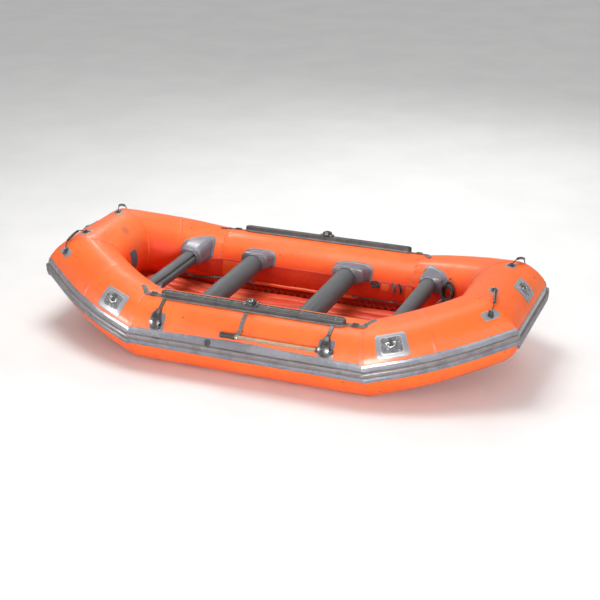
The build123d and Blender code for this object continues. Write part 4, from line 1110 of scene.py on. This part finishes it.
def lacing():
    """Strip on the tube, grommets, a cord zigzag down to the floor's margin, grab lines."""
    strip, grommets, ropes, welts = Mesh(), Mesh(), Mesh(), Mesh()
    strip_x = np.arange(-0.87, 0.8701, 0.03)[:, None]
    strip_phi = np.array([192.6, 193.0, 194.0, 197.0, 200.0, 201.0, 201.4])
    strip_thick = np.array([0.4, 1.8, 2.6, 2.6, 2.6, 1.8, 0.4]) * 1e-3
    eyelet_phi, eyelet_y, pitch = 197.0, 0.4425, 0.06
    slack = np.array([0, -0.004, 0.003])
    angle = np.linspace(0, 2 * PI, 14, endpoint=False)[:, None]
    for side in (1, -1):
        mirror = (1, side)
        strip.shell(point("side", strip_x, strip_phi, 0.0006 + strip_thick),
                    point("side", strip_x, strip_phi, -0.003), mirror=mirror)
        path = []
        for x in np.arange(-0.84, 0.8401, pitch):
            upper, upper_normal = surface("side", x, eyelet_phi, 0.0085)
            following = point("side", x + pitch, eyelet_phi, 0.0085)
            lower_x = x + pitch / 2
            lower = np.array([lower_x, eyelet_y, floor_top(lower_x, eyelet_y) + 0.0062])
            path += [upper, (upper + lower) / 2 + slack, lower, (lower + following) / 2 + slack]
            for centre, normal in ((upper, upper_normal), (lower, Z_DIR)):
                circle = X_DIR * np.cos(angle) + np.cross(normal, X_DIR) * np.sin(angle)
                grommets.sweep(centre - normal * 0.0045 + circle * 0.0062, 0.0016, 6,
                               mirror=mirror, closed=True)
        # the cord ends at the last upper eyelet
        ropes.sweep(smooth_path(path[:-3], 5), 0.0025, 8, 1, mirror)
        # rolled upper edge of the lacing flange
        x = np.arange(-0.60, 0.4001, 0.02)
        welts.sweep(smooth_path(point("side", x, 191.6 + 0.35 * np.sin(x * 19), 0.0085), 2),
                    lambda part: 0.0142 * min(1.0, 0.25 + 14 * min(part, 1 - part)), 14,
                    mirror=mirror)
        # thick grab line round the stern quarter, thin one along the side tube forward
        thick_line = np.r_[point("chain", *np.array(GRAB_CHAIN).T, 0.011) * FLIP_X,
                           point("side", *np.array(GRAB_SIDE).T, 0.011)]
        ropes.sweep(smooth_path(thick_line, 5), 0.0118, 12, 2, mirror, pitch=0.030)
        i = np.arange(14)
        thin_line = point("side", 0.36 + 0.04 * i, 189.6 + 0.55 * (1 - np.cos(PI * i / 2)), 0.0095)
        ropes.sweep(smooth_path(thin_line, 4), 0.0056, 10, 2, mirror, pitch=0.012)
    welts.build("lacing_flange_welts", [WELT], 60, "floor_fabric")
    strip.build("floor_lacing_strip_pair", [FLOOR_SEAM], 40, "patch_fabric",
                ["floor_lacing_strips"])
    grommets.build("floor_lacing_grommets", [BRASS], 60, "steel")
    ropes.build("floor_lacing_rope", [ROPE, CORD, GRAB_LINE], 60, "rope")


# ---------------------------------------------------------------- thwarts and collars
# axis x, axis z, radius; numbered from the stern
THWARTS = [(-1.062, 0.436, 0.067), (-0.513, 0.420, 0.084), (0.323, 0.420, 0.088),
           (1.044, 0.474, 0.067)]
TURN = np.linspace(0, 2 * PI, 96, endpoint=False)
CIRCLE = np.c_[np.cos(TURN), np.sin(TURN)]


def level_row(x, y, z):
    """Points (x, y, z), where y may be one number for all."""
    return np.c_[x, np.broadcast_to(y, np.shape(x)), z]


def thwarts():
    for number, (x, z, radius) in enumerate(THWARTS, 1):
        wall = float(inner_wall(x, z)[0])
        # far enough into the tube to bury the end all round
        buried = float(inner_wall(x, z + radius * 0.9)[0]) + 0.012
        # lengthwise fold: deep on the sternmost, faint on the others
        fold_at, fold_depth, fold_width = (29, 0.0165, 0.17) if number == 1 else (200, 0.0022, 0.03)
        from_fold = (TURN - rad(fold_at) + PI) % (2 * PI) - PI

        def middle(y):
            return z - 0.0035 * (1 - (abs(y) / wall) ** 2)

        def hoop(y, reach, angle):
            return level_row(x + reach * np.cos(angle), y, middle(y) + reach * np.sin(angle))

        rings = []
        for y in np.r_[-buried, -wall, np.linspace(-wall + 0.02, wall - 0.02, 44), wall, buried]:
            inset = wall - abs(y)
            taper = math.sqrt(max(0.0, min(1.0, inset / 0.16)))
            gather = 0.0026 * math.exp(-max(0.0, inset - 0.07) / 0.07)
            fade = max(0.0, 1 - (max(0.0, abs(y) - 0.24) / 0.3) ** 2)
            reach = (radius * (0.985 + 0.012 * taper)
                     - gather * (0.5 + 0.5 * np.sin(11 * TURN + 2 * np.sin(2 * TURN + number))) ** 2
                     - 0.0010 * (0.5 + 0.5 * np.sin(y * 17 + 3 * TURN + number))
                     - fold_depth * fade * np.exp(-((from_fold / fold_width) ** 2)))
            if y > 0:
                # the top dips into the port collar
                reach = reach - (0.034 * float(smoothstep((y - wall + 0.075) / 0.05))
                                 * np.sqrt(np.maximum(0.0, np.sin(TURN))))
            rings.append(hoop(y, reach, TURN))
        mesh = Mesh()
        mesh.loft(rings)
        # raised overlap strip on the side towards the stern
        angle = np.linspace(rad(196), rad(214), 7)
        thick = np.array([0.2, 1.2, 1.5, 1.5, 1.5, 1.2, 0.2]) * 1e-3
        strip_y = np.linspace(-wall + 0.05, wall - 0.078, 30)
        mesh.shell([hoop(y, radius * 0.997 + thick, angle) for y in strip_y],
                   [hoop(y, radius - 0.004, angle) for y in strip_y])
        mesh.build(f"thwart_tube_{number}", [THWART], 60, "thwart_fabric", [f"thwart_{number}"])


# per thwart: half width at the wall, rise above the thwart's radius at the wall, reach
# inboard, shift towards the bow, depth below the axis as a share of the radius
COLLARS = {
    1: [(0.114, 0.042, 0.112, 0.010, 0.70), (0.138, -0.018, 0.094, 0.010, 0.34),
        (0.164, -0.020, 0.098, 0.022, 0.34), (0.112, 0.012, 0.090, 0.028, 0.75)],
    -1: [(0.102, -0.052, 0.036, 0.0, 0.95), (0.124, -0.056, 0.034, 0.0, 0.95),
         (0.142, -0.058, 0.034, 0.0, 0.95), (0.100, -0.052, 0.034, 0.0, 0.95)],
}
# flange rows on the wall: growth of the outline, height off the wall
COLLAR_FLANGE = ((0.011, 0.0018), (0.010, 0.0034), (0.004, 0.0040), (-0.001, 0.0052))
# lip rows round the thwart: distance inboard, blend from box to circle, clearance
COLLAR_LIP = ((0.0035, 0.22, 0.0072), (0.0065, 0.60, 0.0068), (0.0085, 0.90, 0.0064),
              (0.010, 1.0, 0.0060), (0.018, 1.0, 0.0056), (0.0195, 1.0, 0.0034),
              (0.0200, 1.0, 0.0006))


def soft_box(half_width, up, down, power):
    """Rounded rectangle about the thwart's axis: (x, z) for each angle of TURN."""
    cos, sin = CIRCLE.T
    return np.c_[half_width * np.sign(cos) * np.abs(cos) ** (2 / power),
                 np.where(sin >= 0, up, down) * np.sign(sin) * np.abs(sin) ** (2 / power)]


def collar(mesh, number, side):
    x, z, radius = THWARTS[number - 1]
    half, rise, reach, shift, depth = COLLARS[side][number - 1]
    port = side == 1
    down = depth * radius
    front_half = radius + 0.012 + (0.55 * (half - radius - 0.012) if port else 0.0)
    wobble = (1 + 0.010 * np.sin(3 * TURN + number)[:, None]
              + 0.006 * np.sin(7 * TURN + 2 * number)[:, None])
    fold = 0.0014 * (0.5 + 0.5 * np.sin(12 * TURN + number))[:, None]
    top, bottom = [], []

    def on_wall(outline, offset):
        return level_row(x + outline[:, 0], *inner_wall(x + outline[:, 0], z + outline[:, 1],
                                                        offset))

    def add_row(outline, y):
        inner = outline - CIRCLE * 0.0022
        top.append(level_row(x + outline[:, 0], y, z + outline[:, 1]))
        bottom.append(level_row(x + inner[:, 0], y + 0.0014, z + inner[:, 1]))

    for grow, offset in COLLAR_FLANGE:
        outline = soft_box(half + grow, radius + rise + grow, down + 0.010 + grow, 4.0)
        outline = outline * wobble + [shift, 0]
        top.append(on_wall(outline, offset))
        bottom.append(on_wall(outline, -0.004))
    wall_y = top[-1][:, 1]
    limit = wall_y - 0.0006
    front_y = float(inner_wall(x, z)[0]) - reach
    # sleeve from the wall inboard; each row stays clear of the wall and of the row before
    for part in (0.04, 0.10, 0.20, 0.34, 0.50, 0.66, 0.80, 0.91, 0.97, 1.0):
        ease = smoothstep(part) * 0.5 + part * 0.5
        up = radius + rise - 0.002 - 0.003 * max(0.0, part - 0.9) * 10
        if port:
            up += (0.012 - rise) * (min(1.0, part * 1.5) if rise < 0.02 else part ** 2.2)
        outline = soft_box(half - 0.003 + (front_half - half + 0.003) * ease, up,
                           down + 0.007 + 0.002 * (1 - part), 4.4)
        outline = outline * (1 + (wobble - 1) * (1 - part)) + [shift * (1 - 0.45 * part), 0]
        outline = outline - CIRCLE * fold * math.sin(PI * part)
        clear = inner_wall(x + outline[:, 0], z + outline[:, 1])[0] - 0.004
        y = np.minimum(np.minimum(wall_y + (front_y - wall_y) * part, clear), limit)
        limit = y - 0.0006
        add_row(outline, y)
    front = soft_box(front_half - 0.0005, radius + 0.009, down + 0.007, 4.4) + [0.55 * shift, 0]
    for inboard, blend, clearance in COLLAR_LIP:
        outline = front * (1 - blend) + CIRCLE * (radius + clearance) * blend
        ceiling = np.inf if port else radius + rise
        outline[:, 1] = np.clip(outline[:, 1], -down - 0.007, ceiling)
        add_row(outline, front_y - inboard)
    mesh.shell(np.swapaxes(top, 0, 1), np.swapaxes(bottom, 0, 1), mirror=(1, side), closed=True)


def collars():
    for side, name in SIDES:
        mesh = Mesh()
        for number in range(1, len(THWARTS) + 1):
            collar(mesh, number, side)
        mesh.build("thwart_collar_set_" + name, [COLLAR], 50, "patch_fabric",
                   ["thwart_collars_" + name])


# ---------------------------------------------------------------- skirt and inner wall straps
SKIRT_TOP_Z, SKIRT_LOW_PHI = 0.393, 191.5


def skirt_phi(panel, along):
    """Angle at which the inner wall reaches the skirt's level top edge, spread down to its
    lower edge."""
    phi = np.linspace(125, 200, 600)
    start = float(np.interp(-SKIRT_TOP_Z, -point(panel, along, phi, 0.0)[:, 2], phi))
    if panel == "chain":
        start = min(start, 189.0)
    part = np.array([0, 0.01, 0.03, 0.075, 0.095, 0.25, 0.42, 0.6, 0.78, 0.96, 1.0])
    return start + (SKIRT_LOW_PHI - start) * part


def skirt():
    """Skirt bonded low along the inner wall; the floor is laced below it."""
    thick = np.array([0.3, 1.6, 2.0, 1.9, 1.1, 1.0, 1.0, 1.0, 1.0, 0.9, 0.3]) * 1e-3
    quarter = [(along, skirt_phi("chain", along)) for along in np.linspace(0.0, 0.50, 22)]
    side_x = np.linspace(-SHOULDER_X, SHOULDER_X, 70)
    side_phi = skirt_phi("side", 0.0)

    def sheet(height):
        bow = np.array([point("chain", along, phi, height) for along, phi in quarter])
        middle = grid("side", side_x, side_phi, height)[1:-1]
        return np.concatenate([(bow * FLIP_X)[::-1], middle, bow])

    mesh = Mesh()
    for side in (1, -1):
        mesh.shell(sheet(0.0006 + thick), sheet(-0.005), mirror=(1, side))
        # plain orange doublers over the skirt
        for x, half in ((-0.735, 0.098), (0.868, 0.052)):
            patch(mesh, "side", (x, 172.5), (half, arc(13.0)), corner=0.012, base=0.0014,
                  thick=0.0016, counts=(31, 23), rim=0.04, slot=1, mirror=(1, side))
    # small pad low on the port wall
    patch(mesh, "side", (0.640, 166.0), (0.034, arc(6.0)), corner=0.010, base=0.0014,
          thick=0.0030, counts=(25, 17), rim=0.10, slot=1)
    mesh.build("floor_skirt", [SKIRT, HULL_TAPE], 45, "tube_fabric")


def inner_wall_straps():
    """A loop with a crossing piece, and two short straps, on the port wall."""
    mesh = Mesh()
    turn = np.linspace(0, 2 * PI, 15)[:-1]
    loop = point("side", 0.556 + 0.034 * np.cos(turn) * (1 + 0.12 * np.sin(2 * turn)),
                 162.6 + 4.4 * np.sin(turn), 0.0075 + 0.010 * np.maximum(0.0, np.sin(turn)))
    mesh.sweep(smooth_path(loop, 6, True), 0.0078, 10, closed=True)
    part = np.linspace(0, 1, 7)
    crossing = point("side", 0.524 + 0.068 * part, 159.0 + 8.0 * part,
                     0.006 + 0.010 * np.sin(PI * part))
    mesh.sweep(smooth_path(crossing, 5), 0.0070, 10)
    part = np.linspace(0, 1, 9)
    for x, radius, slot in ((0.700, 0.0105, 1), (0.756, 0.0085, 0)):
        strap = point("side", x + 0.012 * np.sin(PI * part) + 0.020 * part, 157.0 + 15.0 * part,
                      0.0055 + 0.008 * np.sin(PI * part))
        mesh.sweep(smooth_path(strap, 4), radius, 10, slot)
    mesh.build("inner_wall_straps", [WEB, WEB_GREY], 50, "webbing")


# ---------------------------------------------------------------- patches and stitched straps
def keeper(mesh, panel, along, phi, mirror):
    """Webbing loop over a D-ring's bar, with both tails stitched down to the patch."""
    tangent = frames(panel, along)[1][0]
    origin, normal = surface(panel, along, phi, 0.0)
    down = np.cross(normal, tangent)
    loop_radius, bar_height, width = 0.0053, 0.0098, 0.030
    tail = np.linspace(-0.036, -0.012, 6)
    tail_height = 0.0052 + np.maximum(0, tail + 0.018) * 0.28
    angle = np.linspace(rad(200), rad(-20), 15)
    offset = np.r_[tail, loop_radius * np.cos(angle), -tail[::-1]][:, None]
    height = np.r_[tail_height, bar_height + loop_radius * np.sin(angle), tail_height[::-1]]
    path = origin + down * offset + normal * (height[:, None] - offset ** 2 / 2 / TUBE_R)
    mesh.ribbon(path, tangent, width, 0.0017, 2, mirror, seam=width * 0.36, facing=normal)


def stitch_rim(mesh, panel, centre, half_size, mirror):
    """Stitches round a soft rectangle on the tube."""
    along, phi = centre
    turn = np.linspace(0, 2 * PI, 72, endpoint=False)
    cos, sin = np.cos(turn), np.sin(turn)
    swell = (np.abs(cos) ** 4.0 + np.abs(sin) ** 4.0) ** (-1 / 4.0)
    rim = point(panel, along + half_size[0] * cos * swell,
                phi + np.degrees(half_size[1] * sin * swell / TUBE_R), 0.0045)
    rim = np.r_[rim, rim[:1]]
    axis, tangent = (part[0] for part in frames(panel, along)[:2])
    running, gap = lengths(rim), 0.0068
    for where in np.arange(gap / 2, running[-1] - gap / 4, gap):
        place = at_length(where, running, rim)
        course = unit(at_length(where + 0.001, running, rim) - place + 1e-12)
        normal = unit((place - axis) - tangent * ((place - axis) @ tangent))
        mesh.stitch(place, course, unit(np.cross(normal, course)), normal, 3, mirror,
                    length=0.0042)


def d_ring_patches():
    """Base patch, smaller raised pad with a stitched rim, and keeper for each D-ring."""
    # panel, station, phi, half length, half width in degrees, keeper phi, mirror
    places = [("bevel", 0.200, 37.8, 0.108, 19.0, 42.0, corner) for corner in CORNERS]
    places += [("end", 0.030, 44.5, 0.110, 17.5, 49.0, (1, 1)),
               ("end", 0.0, 44.5, 0.110, 17.5, 49.0, (-1, 1))]
    mesh = Mesh()
    for panel, along, phi, half, half_angle, keeper_phi, mirror in places:
        size = np.array([half, arc(half_angle)])
        patch(mesh, panel, (along, phi), size, corner=0.026, base=0.0004, thick=0.0026,
              counts=(33, 27), rim=0.05, mirror=mirror)
        pad = (along, phi + 0.6)
        patch(mesh, panel, pad, size * 0.70, corner=0.022, base=0.0028, thick=0.0014,
              counts=(27, 21), rim=0.07, slot=1, mirror=mirror)
        keeper(mesh, panel, along, keeper_phi, mirror)
        stitch_rim(mesh, panel, pad, size * 0.65, mirror)
    mesh.build("d_ring_patch_set", [PATCH, RING_PAD, WEB, THREAD], 45, "patch_fabric",
               ["d_ring_patches"])


def rail_ties():
    """Straps from the rail ends out over the shoulder seam, with stitch bars."""
    mesh = Mesh()
    for mirror in CORNERS:
        far_phi = 97.0 if mirror[0] > 0 else 90.0

        def drift(x):
            """Angle of the strap, which leaves the rail's line near the shoulder."""
            return RAIL_PHI + (far_phi - RAIL_PHI) * smoothstep(np.maximum(0.0, x - 0.868) / 0.16)

        def beyond(along):
            return surface("chain", along, drift(SHOULDER_X + along), 0.0046)

        x = np.linspace(0.757, SHOULDER_X - 0.008, 18)
        along = np.linspace(0.006, 0.105, 12)
        path = smooth_path(np.r_[point("side", x, drift(x), 0.0026),
                                 point("chain", along, drift(SHOULDER_X + along), 0.0034)], 3)
        normals = []
        for place in path:
            past = place[0] - SHOULDER_X
            axis = frames("side", place[0]) if past < 0 else frames("bevel", past / 0.955)
            normals.append(unit(place - axis[0][0]))
        steps = np.diff(path, axis=0, append=[2 * path[-1] - path[-2]])
        mesh.ribbon(path, np.cross(units(steps), normals), 0.036, 0.0021, 0, mirror,
                    seam=0.0145, facing=normals[0])
        # second layer, humped in the middle
        x = np.linspace(0.772, 0.872, 26)
        hump = 0.0042 * np.exp(-(((x - 0.828) / 0.012) ** 2))
        mesh.ribbon(point("side", x, RAIL_PHI, 0.0026 + hump), RAIL_ACROSS, 0.0355, 0.0019, 0,
                    mirror, facing=RAIL_OUT)
        for x, height in ((0.765, 0.0040), (0.772, 0.0048), (0.880, 0.0040), (0.888, 0.0040)):
            mesh.stitch_bar(point("side", x, RAIL_PHI, height), RAIL_ACROSS, X_DIR, RAIL_OUT,
                            1, mirror)
        for along in (0.084, 0.092):
            centre, normal = beyond(along)
            tangent = unit(beyond(along + 0.004)[0] - centre)
            mesh.stitch_bar(centre, np.cross(tangent, normal), tangent, normal, 1, mirror)
    mesh.build("rail_tie_webbing", [WEB_GREY, THREAD], 50, "webbing", ["rail_tie_straps"])


def oar_holder_patches():
    mesh = Mesh()
    for x in (-0.715, 0.665):
        for side in (1, -1):
            patch(mesh, "side", (x, 29.5), (0.062, arc(14.5)), corner=0.022, base=0.0002,
                  thick=0.0012, counts=(25, 27), rim=0.05, mirror=(1, side))
    mesh.build("oar_holder_base_patches", [COLLAR], 45, "patch_fabric", ["oar_holder_patches"])


def oar_ring_straps():
    """Strap stitched to the tube, running down to a loop round the oar ring."""
    strap_x = -0.025
    centre, out = surface("side", strap_x, 25.0, 0.030)
    upward = np.cross(X_DIR, out)
    loop_centre = centre + upward * 0.0208
    angle = np.linspace(rad(50), rad(-250), 22)[:, None]
    loop = loop_centre + (-out * np.cos(angle) + upward * np.sin(angle)) * 0.0062
    lead = point("side", strap_x, np.linspace(67.4, 39.0, 18), 0.0026)
    lead = smooth_path(np.r_[lead, [loop_centre + upward * 0.016 - out * 0.0135]], 3)[:-1]
    path = resample(np.concatenate([lead, loop]), 0.0035)
    mesh = Mesh()
    for side in (1, -1):
        mesh.ribbon(path, X_DIR, 0.032, 0.0022, 0, (1, side), seam=0.0125, facing=out)
        for phi in (65.6, 64.0, 45.0, 43.4):
            place, normal = surface("side", strap_x, phi, 0.0039)
            mesh.stitch_bar(place, X_DIR, np.cross(normal, X_DIR), normal, 1, (1, side),
                            half=0.0105, pitch=0.0052)
    mesh.build("oar_ring_straps", [WEB_GREY, THREAD], 50, "webbing", ["oar_straps"])


def anchor_pads():
    """Pads on the tube nearest to each carry handle anchor."""
    mesh = Mesh()
    for mirror in CORNERS:
        for anchor in ([1.725, 0.273, 0.769], [1.768, 0.530, 0.685]):
            distance = np.linalg.norm(CHAIN_POINTS - anchor, axis=2)
            i, j = np.unravel_index(int(distance.argmin()), distance.shape)
            chain_patch(mesh, (CHAIN[i], PHI[j]), (0.042, 0.036), 0.014, mirror)
    mesh.build("handle_anchor_pads", [PATCH], 45, "patch_fabric")


def repair_patch():
    """Grey patch on the inboard face of the stern tube."""
    mesh = Mesh()
    chain_patch(mesh, (CHAIN_LEN / 2 - 0.064, 181.0), (0.074, 0.086), 0.034, (-1, -1))
    mesh.build("repair_patches", [THWART], 45, "patch_fabric")


# ---------------------------------------------------------------- bow line
def bow_line():
    """Coiled rope with a loose tail, a wrap, a hanging tab and a pale toggle."""
    centre, out = surface("bevel", 0.520, 168.0, 0.0315)
    along = frames("bevel", 0.520)[1][0]
    up = np.cross(out, along)

    def local(a, b, height):
        """Point at a along the tube, b up and height off it, from the coil's centre."""
        return sum((way * np.asarray(amount)[..., None]
                    for way, amount in ((along, a), (up, b), (out, height))), centre)

    mesh = Mesh()
    steps = 5.6 * 22    # turns times points per turn
    i = np.arange(int(steps))
    turn = 2 * PI * i / 22 + 0.7
    radius = 0.060 + 0.007 * np.sin(0.85 * turn + 0.6) + 0.004 * np.sin(2.3 * turn)
    coil = local(radius * np.cos(turn), radius * np.sin(turn) * 1.08 - 0.004,
                 -0.019 + 0.040 * i / steps + 0.003 * np.sin(1.3 * turn))
    tail = [coil[-1] + (coil[-1] - coil[-2]) * 0.9 + out * 0.004]
    for step in range(1, 8):
        tail.append(tail[-1] + np.array([0.004 * math.sin(step), -0.006, -0.026]) - along * 0.004)
    mesh.sweep(resample(smooth_path(np.r_[coil, tail], 5), 0.004), 0.0088, 12, pitch=0.030)
    i = np.arange(40)
    turn = 2 * PI * i / 10
    wrap = local(-0.016 + 0.032 * i / 40, 0.060 + np.cos(turn) * 0.022,
                 np.sin(turn) * 0.030 + 0.004)
    mesh.sweep(resample(smooth_path(wrap, 4), 0.004), 0.0052, 10, pitch=0.020)
    # tab: up, off the tube
    tab = np.array([(0.112, -0.030), (0.104, -0.027), (0.098, -0.022), (0.090, 0.010),
                    (0.070, 0.034), (0.044, 0.030), (0.034, 0.004), (0.036, -0.020)])
    mesh.ribbon(resample(smooth_path(local(0.0, *tab.T), 6), 0.004), along, 0.026, 0.0018, 2,
                seam=0.010)
    # toggle: along, up, off the tube
    toggle = np.array([(-0.030, -0.060, 0.030), (-0.060, -0.090, 0.044),
                       (-0.095, -0.125, 0.052), (-0.125, -0.155, 0.056)])
    mesh.sweep(resample(smooth_path(local(*toggle.T), 8), 0.005),
               lambda part: 0.0078 - 0.003 * abs(2 * part - 1) ** 6, 16, 1)
    mesh.build("bow_line_rope", [ROPE, ROPE_PALE, WEB, THREAD], 60, "rope", ["bow_line_coil"])


for build_piece in (hull_tubes, seam_tapes, rub_strakes, chafe_band, rails, floor_beams,
                    corner_aprons, lacing, thwarts, collars, skirt, inner_wall_straps,
                    d_ring_patches, rail_ties, oar_holder_patches, oar_ring_straps,
                    anchor_pads, repair_patch, bow_line):
    build_piece()

# ---------------------------------------------------------------- parts kept from the CAD
# material by name prefix; the first match counts
CAD_MATERIALS = {
    "rowlock_saddles": PLASTIC, "rowlock_sleeves": STEEL, "rowlock_knob": BLACK,
    "oar_holders": BLACK, "oar_strap_rings": STEEL, "oar_shaft": OAR, "oar_grip": GRIP,
    "oar_ferrule": PLASTIC, "rail_tie_buckles": PLASTIC, "d_ring_": STEEL,
    "carry_handle_anchors": PLASTIC, "carry_handle_": BLACK, "valve_bodies": PLASTIC,
    "valve_cap": PLASTIC, "valve_poppet": BRASS, "valve_spring": STEEL,
}
for node_name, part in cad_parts.items():
    for prefix, material in CAD_MATERIALS.items():
        if node_name.startswith(prefix):
            part.data.materials.clear()
            part.data.materials.append(material)
            break


# ---------------------------------------------------------------- ground, lights, camera
def ground():
    shader = Shader("studio_floor")
    shader.color = shader.mix((0.80, 0.80, 0.795, 1), (0.76, 0.76, 0.76, 1),
                              shader.clouds(scale=1.3, detail=4, span=(0.3, 0.7)))
    roughness = shader.clouds(scale=6, span=(0.3, 0.7), to=(0.6, 0.75))
    normal = shader.bump(shader.noise(scale=40), distance=0.0006, strength=0.3)
    material = shader.finish(roughness, normal)
    data = bpy.data.meshes.new("studio_floor")
    half, z = 24.0, -0.0005
    data.from_pydata([(-half, -half, z), (half, -half, z), (half, half, z), (-half, half, z)],
                     [], [(0, 1, 2, 3)])
    plane = bpy.data.objects.new("studio_floor", data)
    data.materials.append(material)
    bpy.context.scene.collection.objects.link(plane)


def area(name, place, target, size, power, color=(1, 1, 1), size_y=None):
    data = bpy.data.lights.new(name, "AREA")
    data.energy, data.size, data.color = power, size, color
    if size_y:
        data.shape, data.size_y = "RECTANGLE", size_y
    light = bpy.data.objects.new(name, data)
    light.location = place
    light.rotation_euler = (Vector(target) - Vector(place)).to_track_quat("-Z", "Y").to_euler()
    light.visible_camera = False
    bpy.context.scene.collection.objects.link(light)
    return light


def lights():
    area("key", (-0.9, 0.2, 6.9), target=(0, 0, 0.3), size=3.4, power=330,
         color=(1.0, 0.99, 0.97))
    area("front", (1.0, -8.6, 1.55), target=(0.2, 0, 0.35), size=3.4, size_y=0.9, power=270,
         color=(1.0, 0.99, 0.98))
    area("fill", (6.2, -4.6, 2.6), target=(0.4, 0, 0.35), size=3.2, power=170,
         color=(0.97, 0.98, 1.0))
    back = area("back", (0.5, 5.5, 4.6), target=(0, 0, 0.4), size=4.0, power=120)
    back.visible_glossy = False
    # these three only add highlights
    glints = [
        area("glint_bow", (1.5, -6.2, 1.25), target=(1.1, -1.0, 0.40), size=1.2, size_y=0.60,
             power=560),
        area("glint_stern", (-4.9, -4.5, 1.05), target=(-1.1, -0.9, 0.40), size=0.9,
             size_y=0.60, power=430),
        area("glint_top", (-3.5, 4.3, 4.6), target=(-0.6, 0.4, 0.5), size=0.45, power=110),
    ]
    for glint in glints:
        glint.visible_diffuse = False
    world = bpy.data.worlds.new("studio")
    bpy.context.scene.world = world
    world.use_nodes = True
    color, strength = world.node_tree.nodes["Background"].inputs[:2]
    color.default_value = (1.0, 1.0, 1.0, 1)
    strength.default_value = 0.54


def camera():
    scene = bpy.context.scene
    scene.view_settings.view_transform = "Standard"
    scene.view_settings.look = "None"
    data = bpy.data.cameras.new("camera")
    data.sensor_width = 36.0
    data.lens = 80.1966
    data.clip_end = 80
    viewer = bpy.data.objects.new("camera", data)
    viewer.location = (3.76275, -9.30730, 4.51747)
    yaw, pitch = 0.37762, 0.39596    # left of +Y, below level
    view = Vector((-math.sin(yaw) * math.cos(pitch), math.cos(yaw) * math.cos(pitch),
                   -math.sin(pitch)))
    viewer.rotation_euler = view.to_track_quat("-Z", "Y").to_euler()
    scene.collection.objects.link(viewer)
    scene.camera = viewer


ground()
lights()
camera()
